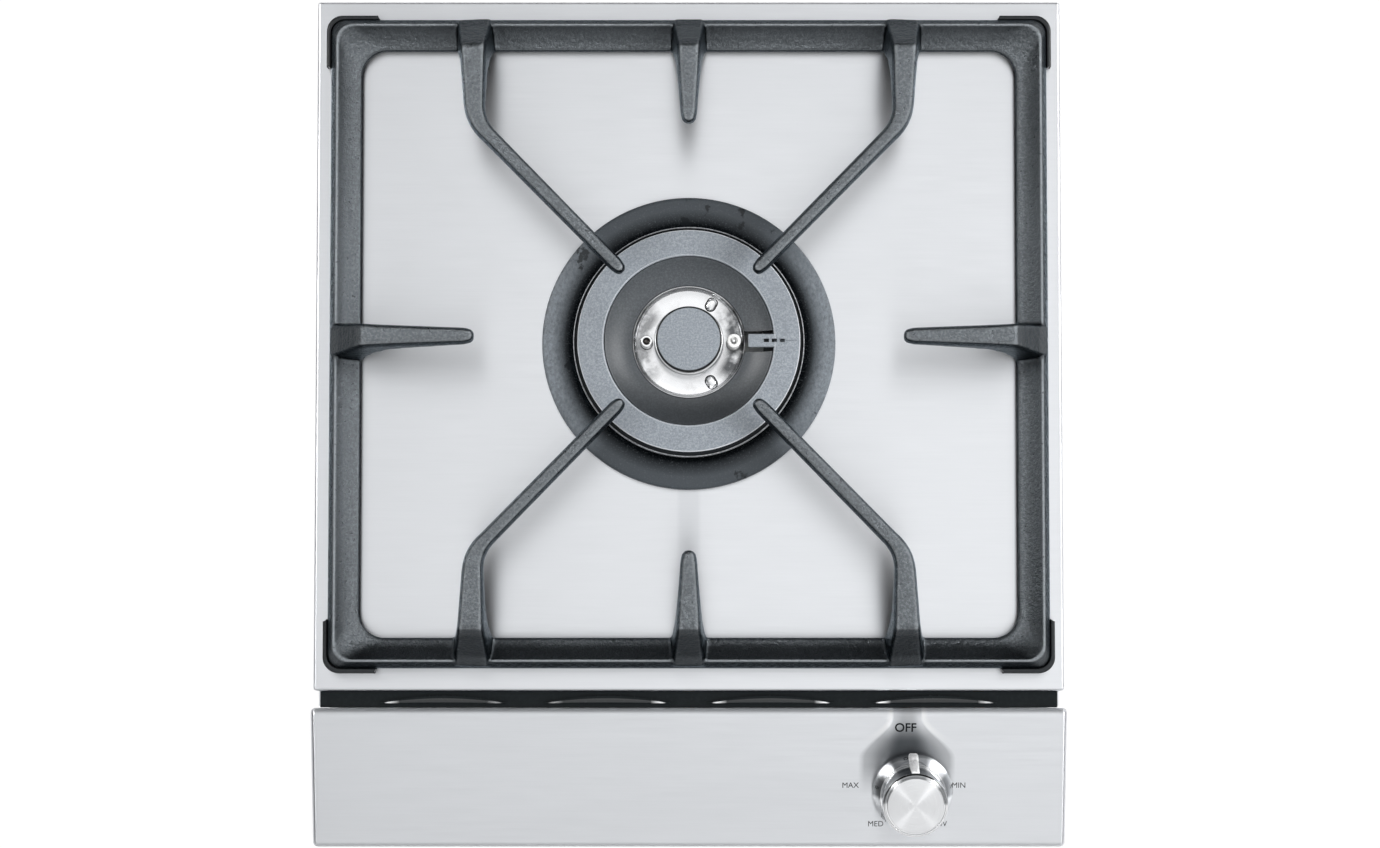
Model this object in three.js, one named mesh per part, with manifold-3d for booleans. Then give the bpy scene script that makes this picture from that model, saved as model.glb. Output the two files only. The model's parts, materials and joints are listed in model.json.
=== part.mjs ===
// Single-burner gas hot plate: a sheet-steel case on rubber feet, a dual-ring burner, a cast pan
// support and a sloping control panel with one push-and-turn knob.
// Millimetres, +Z up, +X right, -Y towards the cook. The origin is on the bench, at the middle of
// the footprint.
import * as THREE from "three";
import { mergeVertices } from "three/addons/utils/BufferGeometryUtils.js";
import Module from "manifold-3d";

const wasm = await Module();
wasm.setup();

// ---------------------------------------------------------------- driving dimensions
const clearance = 0.3; // between pieces that fit together
const sheet = 1.2; // top plate and control panel
const thinSheet = 1; // case panels, base pan and vent strip

// Feet and case
const footHeight = 12;
const footTopRadius = 15;
const footBottomRadius = 13.5;
const footInsetX = 28;
const footInsetY = 34;
const footRecessGap = 1.4; // around the screw's head
const footRecessDepth = 4.6;
const caseHeight = 88; // from the top of the feet to the top of the plate
const flangeWidth = 12; // folded edges of the case panels
const upturnHeight = 15; // folded edges of the base pan
const plateOverlap = 0.5; // the plate's folded edge stands this far outside the case panels
const rearRecess = 20; // the rear panel stands in from the plate's back edge by this
const panSlots = 9; // air slots under the burner
const panSlotLength = 60;
const panSlotWidth = 3.5;
const panSlotPitch = 14;
const rearSlots = 10; // air slots in the rear panel
const rearSlotHeight = 40;
const rearSlotWidth = 4;
const rearSlotPitch = 16;
const rearSlotFoot = 22; // above the base pan's floor

// Top plate
const plateWidth = 380;
const plateDepth = 352.5;
const plateFlange = 14;
const plateHoleRadius = 53;

// Control panel
const panelOverhang = 1.5; // past the plate, at each side
const panelRun = 70.4; // from the rear lip to the front face
const panelSlope = THREE.MathUtils.degToRad(14.6);
const panelEdgeRadius = 3.5;
const ventGap = 8.7; // between the plate and the control panel
const lipDepth = 15;
const windowMargin = 5; // sheet left around the opening in the panel's floor
const stemHoleGap = 1;
const knobX = 113.4;
const knobSetback = 41.8; // from the panel's rear lip

// Vent strip
const ventStripRecess = 6.5;
const ventLegDepth = 5;
const louvreCount = 4;
const louvrePitch = 83;
const louvreLength = 64;
const louvreWidth = 3.7;
const louvreHeight = 2.4;
const louvreWall = 0.8;

// Burner: radii, and heights above the plate
const baseRingRadius = 74.6;
const baseRingHeight = 5;
const baseRingEdge = 3;
const cupRadius = 50;
const cupWall = 3;
const cupDepth = 40;
const cupRimHeight = 5;
const cupFlangeRadius = 62;
const mixingTubeRadius = 15;
const mixingTubeHeight = 8;
const crownRadius = 58.6;
const crownRimHeight = 9.8;
const crownTopHeight = 12;
const crownPortRadius = 53.5;
const crownInnerRadius = 44;
const crownPorts = 32;
const crownPortWidth = 1.8;
const outerCapRadius = 56.4;
const outerCapInnerRadius = 43;
const outerCapEdge = 3;
const outerCapTopHeight = 16;
const bridgeWidth = 6.6;
const bridgeTipRadius = 30;
const bridgeDepth = 3;
const bridgeSlots = 3;
const bridgeSlotLength = 2.8;
const bridgeSlotPitch = 4;
const bridgeSlotWidth = 0.8;
const bridgeSlotStart = 39.7;
const funnelInnerRadius = 28.6;
const funnelTopHeight = 15;
const funnelThickness = 1.5;
const funnelDrop = 6;
const funnelNotchWidth = 10.6;
const bowlFloorHeight = 1;
const bowlThickness = 1;
const bossRadius = 2;
const bossLength = 2;
const bossHeight = 1.2;
const bossCircle = 22;
const bossAngle = THREE.MathUtils.degToRad(60);
const innerCollarRadius = 17.8;
const innerCollarHeight = 14;
const innerCrownHeight = 18;
const innerPorts = 10;
const innerPortWidth = 1.6;
const innerCapRadius = 16.7;
const innerCapThickness = 4;
const electrodeX = 22.7;
const electrodeRadius = 3.55;
const electrodeHeight = 15;
const pinRadius = 0.9;
const pinStandout = 1.6;
const thermocoupleX = -21.4;
const thermocoupleRadius = 3;
const thermocoupleHeight = 12;
const thermocoupleTipRadius = 1.5;
const thermocoupleTipHeight = 2.4;
const sensorTail = 8; // how far the electrode and the thermocouple reach below the cup
const pinTail = 4; // how far their cores reach below them
const postRadius = 6; // of the cup's bosses around them
const venturiLength = 42;
const venturiRadius = 11;
const venturiBore = 8;
const injectorRadius = 5;
const injectorLength = 11;
const injectorGap = 6; // primary air gap between an injector and its mixing tube

// Pan support
const gridInsetX = 7.75; // from the plate's edges
const gridInsetY = 11;
const barWidth = 15.5;
const barFoot = 2.5; // the bar's underside above the plate
const ridgeHeight = 15;
const gridHeight = 40; // top of the fingers above the plate
const gridOuterCorner = 7;
const gridInnerCorner = 13;
const fingerTipRadius = 107.5; // short fingers end this far from the burner's axis
const longFingerX = 109; // long fingers leave the bars here
const longFingerBend = 108.5; // and turn towards the burner here
const longFingerTip = 33; // and end here, both ways from the axis
const padStandout = 2.5;
const padArm = 25;
const padHeight = 8;

// Knob
const pushTravel = 3;
const knobGap = pushTravel + 0.5; // under the skirt, so that it never touches the panel
const skirtRadius = 20.6;
const skirtTopRadius = 17;
const skirtHeight = 9;
const barrelRadius = 16.4;
const faceRadius = 14.2;
const knobHeight = 27.5;
const indexFootWidth = 6.4;
const indexTopWidth = 3;
const stemRadius = 4;
const hubRadius = 8;

// Gas valve and pipes
const valveRadius = 14;
const valveLength = 34;
const valveDrop = 12; // from the panel's outer face to the valve's top
const valveEdge = 3;
const stemReach = 8; // into the valve, beyond its travel
const portRise = 9; // above the valve's bottom
const portWall = 2.5;
const portLength = 8;
const earWidth = 10;
const earThickness = 4;
const earLength = 9;
const switchLength = 14;
const switchDepth = 12;
const switchHeight = 6.7;
const collarRadius = 7.5;
const collarLength = 3;
const pipeRadius = 3;
const pipeBore = 2;
const pipeBend = 12;
const inletX = 150;
const inletRadius = 10.5; // outside of the inlet's thread
const inletStandout = 18; // beyond the rear panel
const inletNutRadius = 15;
const inletNutLength = 6;
const fittingWall = 2;
const fittingLength = 20;

// Injector holder
const holderHalf = 9;
const columnDepth = 10;
const columnRise = 8; // above the outer injector's axis
const railHeight = 2;

// Ignition
const ignitionSetback = 50; // from the burner's axis towards the back
const generatorX = 60; // left end
const generatorWidth = 45;
const generatorDepth = 42;
const generatorHeight = 30;
const batteryBoxX = 130; // left end, to the left of the burner's axis
const batteryBoxWidth = 62;
const batteryBoxDepth = 24;
const batteryBoxHeight = 20;
const batteryBoxWall = 2;
const cellRadius = 7;
const cellLength = 50;
const leadRadius = 1.3;
const leadBend = 8;
const leadHeight = 17; // above the base pan's floor
const lowLeadHeight = 10;

// Screws
const screwHeadRadius = 3.6;
const screwHeadHeight = 2.2;
const screwRadius = 1.9;
const screwLength = 7;
const screwHeadTaper = 0.7;
const footScrewRise = 6; // above the base pan's floor
const sideScrewInset = 50; // from the case panels' ends
const rearScrewDrop = 30; // below the plate's top

// ---------------------------------------------------------------- places that follow
const plateTop = footHeight + caseHeight;
const depth = panelRun + ventGap + plateDepth;
const frontY = -depth / 2;
const backY = depth / 2;
const lipY = frontY + panelRun;
const plateFrontY = lipY + ventGap;
const burnerY = plateFrontY + plateDepth / 2;
const plateUnder = plateTop - sheet;
const panelWidth = plateWidth + 2 * panelOverhang;
const gridWidth = plateWidth - 2 * gridInsetX;
const gridDepth = plateDepth - 2 * gridInsetY;
const casePanelX = plateWidth / 2 - sheet - plateOverlap;
const caseTop = plateUnder - clearance;
const panFloorTop = footHeight + thinSheet;
const caseBottom = panFloorTop + clearance;
const casePanelFrontY = lipY + clearance + thinSheet;
const rearPanelY = backY - rearRecess; // outer face
const rearPanelInnerY = rearPanelY - thinSheet;
const casePanelBackY = rearPanelInnerY - clearance;
const panHalfWidth = casePanelX - thinSheet - clearance;
const panFrontY = frontY + flangeWidth;
const panBackY = casePanelBackY - thinSheet - clearance;
const cupFloor = -cupDepth; // in the burner's own frame, where the plate's top is at 0
const slopeTan = Math.tan(panelSlope);
const knobY = lipY - knobSetback;
const knobZ = plateTop - knobSetback * slopeTan;

// ---------------------------------------------------------------- geometry helpers
const ring = 32; // facets of the wide round pieces
const smallRing = 20;
const knobRing = 28;
const tubeSides = 12;
const screwSides = 8;
const past = 5; // how far a cutting tool passes what it cuts
const lap = 0.5; // how deep joined solids lie in each other

function box(x0, x1, y0, y1, z0, z1) {
  const made = new THREE.BoxGeometry(x1 - x0, y1 - y0, z1 - z0);
  return made.translate((x0 + x1) / 2, (y0 + y1) / 2, (z0 + z1) / 2);
}

// A solid of revolution about Z from a profile of [radius, height] points. A profile that doesn't
// start and end on the axis closes on itself.
function turned(profile, segments = 32) {
  const points = profile.map(([r, z]) => new THREE.Vector2(r, z));
  const area = THREE.ShapeUtils.area(points);
  if (area < 0) points.reverse();
  const onAxis = points[0].x === 0 && points[points.length - 1].x === 0;
  if (!onAxis) points.push(points[0].clone());
  return new THREE.LatheGeometry(points, segments).rotateX(Math.PI / 2);
}

function ordered(a, b) {
  return a < b ? [a, b] : [b, a];
}

function rod(radius, z0, z1, segments = 16) {
  return turned([[0, z0], [radius, z0], [radius, z1], [0, z1]], segments);
}

// An outline of [y, z] points, extruded along X.
function sideProfile(outline, x0, x1) {
  const shape = new THREE.Shape(outline.map(([y, z]) => new THREE.Vector2(y, z)));
  const made = new THREE.ExtrudeGeometry(shape, { depth: x1 - x0, bevelEnabled: false });
  // The outline's x becomes y, its y becomes z, and the extrusion runs along x.
  const turn = new THREE.Matrix4().set(0, 0, 1, x0, 1, 0, 0, 0, 0, 1, 0, 0, 0, 0, 0, 1);
  return made.applyMatrix4(turn);
}

function solid(geometry) {
  const bare = geometry.clone();
  bare.deleteAttribute("normal");
  bare.deleteAttribute("uv");
  const merged = mergeVertices(bare, 1e-4);
  return new wasm.Manifold(
    new wasm.Mesh({
      numProp: 3,
      vertProperties: new Float32Array(merged.attributes.position.array),
      triVerts: new Uint32Array(merged.index.array),
    }),
  );
}

function geometryOf(made) {
  const mesh = made.getMesh();
  const geometry = new THREE.BufferGeometry();
  geometry.setAttribute("position", new THREE.BufferAttribute(mesh.vertProperties, 3));
  geometry.setIndex(new THREE.BufferAttribute(mesh.triVerts, 1));
  geometry.computeVertexNormals();
  return geometry;
}

function join(...parts) {
  return geometryOf(parts.map(solid).reduce((a, b) => a.add(b)));
}

function cut(body, ...tools) {
  return geometryOf(tools.map(solid).reduce((a, b) => a.subtract(b), solid(body)));
}

// A skin over rows of points. Each row has as many points as the next. The rows are closed rings,
// and either the last row meets the first, or flat ends close the body.
function skin(rows, endsMeet) {
  const count = rows[0].length;
  const index = [];
  const last = endsMeet ? rows.length : rows.length - 1;
  for (let j = 0; j < last; j++) {
    const next = (j + 1) % rows.length;
    for (let i = 0; i < count; i++) {
      const a = j * count + i;
      const b = j * count + ((i + 1) % count);
      const c = next * count + ((i + 1) % count);
      const d = next * count + i;
      index.push(a, b, c, a, c, d);
    }
  }
  if (!endsMeet) {
    const end = (rows.length - 1) * count;
    for (let i = 1; i < count - 1; i++) {
      index.push(0, i + 1, i);
      index.push(end, end + i, end + i + 1);
    }
  }
  const geometry = new THREE.BufferGeometry();
  geometry.setFromPoints(rows.flat());
  geometry.setIndex(index);
  return geometry;
}

// A closed ring of points on a rectangle with round corners.
function roundedLoop(halfX, halfY, radius, z, steps = 4) {
  const points = [];
  const corners = [[1, 1], [-1, 1], [-1, -1], [1, -1]];
  corners.forEach(([sx, sy], corner) => {
    for (let i = 0; i <= steps; i++) {
      const angle = (corner + i / steps) * (Math.PI / 2);
      const x = sx * (halfX - radius) + radius * Math.cos(angle);
      const y = sy * (halfY - radius) + radius * Math.sin(angle);
      points.push(new THREE.Vector3(x, y, z));
    }
  });
  return points;
}

// A path of straight stretches whose corners are rounded off over the length bend.
function bentPath(corners, bend) {
  const path = new THREE.CurvePath();
  let start = corners[0];
  for (let i = 1; i < corners.length - 1; i++) {
    const before = corners[i - 1].clone().sub(corners[i]).setLength(bend).add(corners[i]);
    const after = corners[i + 1].clone().sub(corners[i]).setLength(bend).add(corners[i]);
    path.add(new THREE.LineCurve3(start, before));
    path.add(new THREE.QuadraticBezierCurve3(before, corners[i], after));
    start = after;
  }
  path.add(new THREE.LineCurve3(start, corners[corners.length - 1]));
  return path;
}

function pipe(corners, radius, bore, bend, steps, curveSegments = 3) {
  const section = new THREE.Shape().absarc(0, 0, radius, 0, 2 * Math.PI);
  if (bore > 0) section.holes.push(new THREE.Path().absarc(0, 0, bore, 0, 2 * Math.PI, true));
  const extrudePath = bentPath(corners, bend);
  return new THREE.ExtrudeGeometry(section, { extrudePath, steps, curveSegments });
}

const at = (x, y, z) => new THREE.Vector3(x, y, z);

// ---------------------------------------------------------------- materials
const metal = (color, roughness) => new THREE.MeshStandardMaterial({ color, roughness, metalness: 1 });
const matt = (color, roughness) => new THREE.MeshStandardMaterial({ color, roughness, metalness: 0 });
const stainless = metal(0xd6d9de, 0.3);
const polished = metal(0xe8e9eb, 0.12);
const aluminium = metal(0xb9bcc0, 0.4);
const brass = metal(0xc9a45a, 0.35);
const copper = metal(0xb87650, 0.35);
const castIron = matt(0x5a6166, 0.6);
const blackEnamel = matt(0x2e3235, 0.45);
const greyEnamel = matt(0x9da4ab, 0.5);
const darkEnamel = matt(0x54595e, 0.55);
const blackPlastic = matt(0x1d1e20, 0.5);
const rubber = matt(0x222325, 0.85);
const ceramic = matt(0xf2f0ea, 0.25);
const leadSheath = matt(0xa33c2c, 0.7);

const model = new THREE.Group();
const burner = new THREE.Group();
burner.position.set(0, burnerY, plateTop);
const control = new THREE.Group();
control.position.set(knobX, knobY, knobZ);
control.rotation.x = panelSlope;
model.add(burner, control);

function add(name, geometry, material, parent = model) {
  const mesh = new THREE.Mesh(geometry, material);
  mesh.name = name;
  parent.add(mesh);
  return mesh;
}

// ---------------------------------------------------------------- case
const screwBore = screwRadius + clearance;
const sideScrewZ = panFloorTop + upturnHeight / 2 + 1;
const sideScrewYs = [casePanelFrontY + sideScrewInset, casePanelBackY - sideScrewInset];
const rearScrewX = casePanelX - thinSheet - flangeWidth / 2;
const rearScrewZ = plateTop - rearScrewDrop;

function addFeet() {
  const recess = screwHeadRadius + footRecessGap;
  const footX = plateWidth / 2 - footInsetX;
  const places = {
    front_left: [-footX, frontY + footInsetY],
    front_right: [footX, frontY + footInsetY],
    rear_left: [-footX, rearPanelY - footInsetY],
    rear_right: [footX, rearPanelY - footInsetY],
  };
  const foot = turned([
    [recess, 0],
    [footBottomRadius, 0],
    [footTopRadius, footHeight],
    [screwBore, footHeight],
    [screwBore, footRecessDepth],
    [recess, footRecessDepth],
  ], 16);
  const screw = turned([
    [0, footRecessDepth - screwHeadHeight],
    [screwHeadRadius, footRecessDepth - screwHeadHeight],
    [screwHeadRadius, footRecessDepth],
    [screwRadius, footRecessDepth],
    [screwRadius, panFloorTop + footScrewRise],
    [0, panFloorTop + footScrewRise],
  ], screwSides);
  for (const [place, [x, y]] of Object.entries(places)) {
    add(`foot_${place}`, foot.clone(), rubber).position.set(x, y, 0);
    add(`foot_screw_${place}`, screw.clone(), stainless).position.set(x, y, 0);
  }
  return Object.values(places);
}

// A case screw lies along X or Y with its head outside, at the place of the panel's outer face.
function addCaseScrew(name, x, y, z, outward) {
  const screw = turned([
    [0, -screwLength],
    [screwRadius, -screwLength],
    [screwRadius, 0],
    [screwHeadRadius, 0],
    [screwHeadRadius * screwHeadTaper, screwHeadHeight],
    [0, screwHeadHeight],
  ], screwSides);
  const turn = new THREE.Quaternion().setFromUnitVectors(at(0, 0, 1), outward);
  screw.applyQuaternion(turn);
  add(name, screw, stainless).position.set(x, y, z);
}

function crosswiseRod(x0, x1, y, z, radius, segments = screwSides) {
  return rod(radius, x0, x1, segments).rotateY(Math.PI / 2).translate(0, y, z);
}

function lengthwiseRod(x, y0, y1, z, radius, segments = screwSides) {
  return rod(radius, -y1, -y0, segments).rotateX(Math.PI / 2).translate(x, 0, z);
}

function addBasePan(footPlaces) {
  const floor = box(-panHalfWidth, panHalfWidth, panFrontY, panBackY, footHeight, panFloorTop);
  const upturnTop = panFloorTop + upturnHeight;
  const upturnFrontY = casePanelFrontY + thinSheet + clearance;
  const walls = [-1, 1].map((side) => {
    const [x0, x1] = ordered(side * panHalfWidth, side * (panHalfWidth - thinSheet));
    return box(x0, x1, upturnFrontY, panBackY, footHeight, upturnTop);
  });
  const tools = footPlaces.map(([x, y]) =>
    rod(screwBore, footHeight - past, panFloorTop + past, screwSides).translate(x, y, 0),
  );
  for (const side of [-1, 1]) {
    for (const y of sideScrewYs) {
      const [x0, x1] = ordered(side * (panHalfWidth - past), side * (panHalfWidth + past));
      tools.push(crosswiseRod(x0, x1, y, sideScrewZ, screwBore));
    }
  }
  for (let i = 0; i < panSlots; i++) {
    const y0 = burnerY + (i - (panSlots - 1) / 2) * panSlotPitch - panSlotWidth / 2;
    const half = panSlotLength / 2;
    tools.push(box(-half, half, y0, y0 + panSlotWidth, footHeight - past, panFloorTop + past));
  }
  add("base_pan", cut(join(floor, ...walls), ...tools), stainless);
}

// A side panel is a tray of folded sheet, open towards the middle of the case and at the bottom.
function addSidePanel(name, side) {
  const [x0, x1] = ordered(side * casePanelX, side * (casePanelX - thinSheet - flangeWidth));
  const [inner0, inner1] = ordered(
    side * (casePanelX - thinSheet),
    side * (casePanelX - 2 * flangeWidth),
  );
  const outside = box(x0, x1, casePanelFrontY, casePanelBackY, caseBottom, caseTop);
  // The plate's front edge drops through this notch.
  const notch = box(
    x0 - past,
    x1 + past,
    casePanelFrontY - past,
    plateFrontY + sheet + clearance,
    plateTop - plateFlange - clearance,
    plateTop,
  );
  const inside = box(
    inner0,
    inner1,
    casePanelFrontY + thinSheet,
    casePanelBackY - thinSheet,
    0,
    caseTop - thinSheet,
  );
  const holes = sideScrewYs.map((y) => crosswiseRod(x0 - past, x1 + past, y, sideScrewZ, screwBore));
  holes.push(
    lengthwiseRod(side * rearScrewX, casePanelBackY - past, casePanelBackY + past, rearScrewZ, screwBore),
  );
  add(name, cut(outside, inside, notch, ...holes), stainless);
  sideScrewYs.forEach((y, i) => {
    const screwName = `case_screw_${i === 0 ? "front" : "rear"}_${side < 0 ? "left" : "right"}`;
    addCaseScrew(screwName, side * (casePanelX + clearance / 2), y, sideScrewZ, at(side, 0, 0));
  });
}

function addRearPanel() {
  const panel = box(-casePanelX, casePanelX, rearPanelInnerY, rearPanelY, caseBottom, caseTop);
  const [y0, y1] = [rearPanelInnerY - past, rearPanelY + past];
  const tools = [lengthwiseRod(inletX, y0, y1, inletHeight, inletRadius + clearance, smallRing)];
  for (const side of [-1, 1]) {
    tools.push(lengthwiseRod(side * rearScrewX, y0, y1, rearScrewZ, screwBore));
    const name = `rear_screw_${side < 0 ? "left" : "right"}`;
    addCaseScrew(name, side * rearScrewX, rearPanelY + clearance / 2, rearScrewZ, at(0, 1, 0));
  }
  const slotLow = panFloorTop + rearSlotFoot;
  for (let i = 0; i < rearSlots; i++) {
    const x0 = (i - (rearSlots - 1) / 2) * rearSlotPitch - rearSlotWidth / 2;
    tools.push(box(x0, x0 + rearSlotWidth, y0, y1, slotLow, slotLow + rearSlotHeight));
  }
  add("rear_panel", cut(panel, ...tools), stainless);
}

function addTopPlate() {
  const halfWidth = plateWidth / 2;
  const flangeBottom = plateTop - plateFlange;
  const outside = box(-halfWidth, halfWidth, plateFrontY, backY, flangeBottom, plateTop);
  const inside = box(
    -halfWidth + sheet,
    halfWidth - sheet,
    plateFrontY + sheet,
    backY - sheet,
    flangeBottom - past,
    plateUnder,
  );
  const burnerHole = rod(plateHoleRadius, plateUnder - past, plateTop + past, ring);
  burnerHole.translate(0, burnerY, 0);
  add("top_plate", cut(outside, inside, burnerHole), stainless);
}

// The control panel's side outline, offset inwards by inset: the rear lip, a round top edge, the
// slope, a round front edge, the front face and the bottom.
function panelOutline(inset) {
  const outline = [[lipY - inset, caseBottom + inset]];
  const radius = panelEdgeRadius - inset;
  const topAngle = Math.PI / 2 + panelSlope;
  const topCentreY = lipY - panelEdgeRadius;
  const topCentreZ = plateTop - (panelEdgeRadius * (1 + Math.sin(panelSlope))) / Math.cos(panelSlope);
  const steps = 4;
  for (let i = 0; i <= steps; i++) {
    const angle = (topAngle * i) / steps;
    outline.push([topCentreY + radius * Math.cos(angle), topCentreZ + radius * Math.sin(angle)]);
  }
  const frontCentreY = frontY + panelEdgeRadius;
  const frontCentreZ = topCentreZ - (topCentreY - frontCentreY) * slopeTan;
  for (let i = 0; i <= steps; i++) {
    const angle = topAngle + ((Math.PI - topAngle) * i) / steps;
    outline.push([frontCentreY + radius * Math.cos(angle), frontCentreZ + radius * Math.sin(angle)]);
  }
  outline.push([frontY + inset, caseBottom + inset]);
  return outline;
}

function addControlPanel() {
  const halfWidth = panelWidth / 2;
  const outside = sideProfile(panelOutline(0), -halfWidth, halfWidth);
  const inside = sideProfile(panelOutline(sheet), -halfWidth + sheet, halfWidth - sheet);
  const windowX = halfWidth - sheet - flangeWidth;
  const rearWindow = box(-windowX, windowX, lipY - past, lipY + past, 0, plateTop - lipDepth);
  const floorWindow = box(
    -windowX,
    windowX,
    panFrontY + windowMargin,
    lipY + past,
    0,
    caseBottom + past,
  );
  const stemHole = rod(stemRadius + stemHoleGap, -past, past, smallRing);
  stemHole.rotateX(panelSlope).translate(knobX, knobY, knobZ);
  add("control_panel", cut(outside, inside, rearWindow, floorWindow, stemHole), stainless);
}

// The vent strip is a channel between the plate and the control panel. Each louvre is a hood over
// a slot, with a straight front edge, an arched back edge and its mouth towards the cook.
function addVentStrip() {
  const y0 = lipY + clearance;
  const y1 = plateFrontY - clearance;
  const top = plateTop - ventStripRecess;
  const halfWidth = casePanelX - thinSheet - clearance;
  const outside = box(-halfWidth, halfWidth, y0, y1, top - ventLegDepth, top);
  const insideX = halfWidth + past;
  const inside = box(-insideX, insideX, y0 + thinSheet, y1 - thinSheet, 0, top - thinSheet);
  const hoodFrontY = (y0 + y1) / 2 - louvreWidth / 2;
  const half = louvreLength / 2;
  const arc = (shrink) => {
    const shape = new THREE.Shape();
    const steps = 8;
    for (let i = 0; i <= steps; i++) {
      const x = -1 + (2 * i) / steps;
      const y = (louvreWidth - shrink) * (1 - x * x);
      const point = [x * (half - 2 * shrink), y];
      if (i === 0) shape.moveTo(...point);
      else shape.lineTo(...point);
    }
    return shape;
  };
  const hood = new THREE.ExtrudeGeometry(arc(0), { depth: louvreHeight, bevelEnabled: false });
  const mouth = new THREE.ExtrudeGeometry(arc(louvreWall), {
    depth: louvreHeight - louvreWall + 2 * thinSheet,
    bevelEnabled: false,
  });
  const hoods = [];
  const mouths = [];
  for (let i = 0; i < louvreCount; i++) {
    const x = (i - (louvreCount - 1) / 2) * louvrePitch;
    hoods.push(hood.clone().translate(x, hoodFrontY, top));
    mouths.push(mouth.clone().translate(x, hoodFrontY, top - 2 * thinSheet));
  }
  add("vent_strip", cut(join(cut(outside, inside), ...hoods), ...mouths), blackPlastic);
}

// ---------------------------------------------------------------- burner
function addBurnerBody() {
  add("burner_base_ring", turned([
    [cupRadius + clearance, 0],
    [baseRingRadius, 0],
    [baseRingRadius, baseRingEdge],
    [baseRingRadius - 1, baseRingEdge + 0.9],
    [baseRingRadius - 11, baseRingHeight],
    [baseRingRadius - 16, cupRimHeight - clearance],
    [cupRadius + clearance, cupRimHeight - clearance],
  ], ring), blackEnamel, burner);

  const under = -sheet - clearance;
  const inner = cupRadius - cupWall;
  const tubeBore = mixingTubeRadius - cupWall;
  const cup = turned([
    [tubeBore, cupFloor],
    [cupRadius, cupFloor],
    [cupRadius, under - cupWall],
    [cupFlangeRadius, under - cupWall],
    [cupFlangeRadius, under],
    [cupRadius, under],
    [cupRadius, cupRimHeight],
    [inner, cupRimHeight],
    [inner, cupFloor + cupWall],
    [mixingTubeRadius, cupFloor + cupWall],
    [mixingTubeRadius, mixingTubeHeight],
    [tubeBore, mixingTubeHeight],
  ], ring);
  const venturiZ = cupFloor + cupWall + venturiRadius;
  const venturiEnd = -cupRadius - venturiLength;
  const posts = [electrodeX, thermocoupleX].map((x) =>
    rod(postRadius, cupFloor + lap, bowlFloorHeight, tubeSides).translate(x, 0, 0),
  );
  const venturi = lengthwiseRod(0, venturiEnd, -inner - lap, venturiZ, venturiRadius, tubeSides);
  const body = join(cup, venturi, ...posts);
  const venturiTool = lengthwiseRod(0, venturiEnd - past, past - inner, venturiZ, venturiBore, tubeSides);
  add("burner_cup", cut(body, venturiTool, ...sensorTools()), aluminium, burner);
}

// Cutting tools for the bores of the electrode and the thermocouple.
function sensorTools() {
  const sensors = [[electrodeX, electrodeRadius], [thermocoupleX, thermocoupleRadius]];
  return sensors.map(([x, radius]) =>
    rod(radius + clearance, cupFloor - past, outerCapTopHeight, tubeSides).translate(x, 0, 0),
  );
}

function radialSlots(count, width, r0, r1, z0, z1) {
  const slots = [];
  for (let i = 0; i < count; i++) {
    const slot = box(r0, r1, -width / 2, width / 2, z0, z1);
    slots.push(slot.rotateZ(((i + 0.5) * 2 * Math.PI) / count));
  }
  return slots;
}

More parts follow.
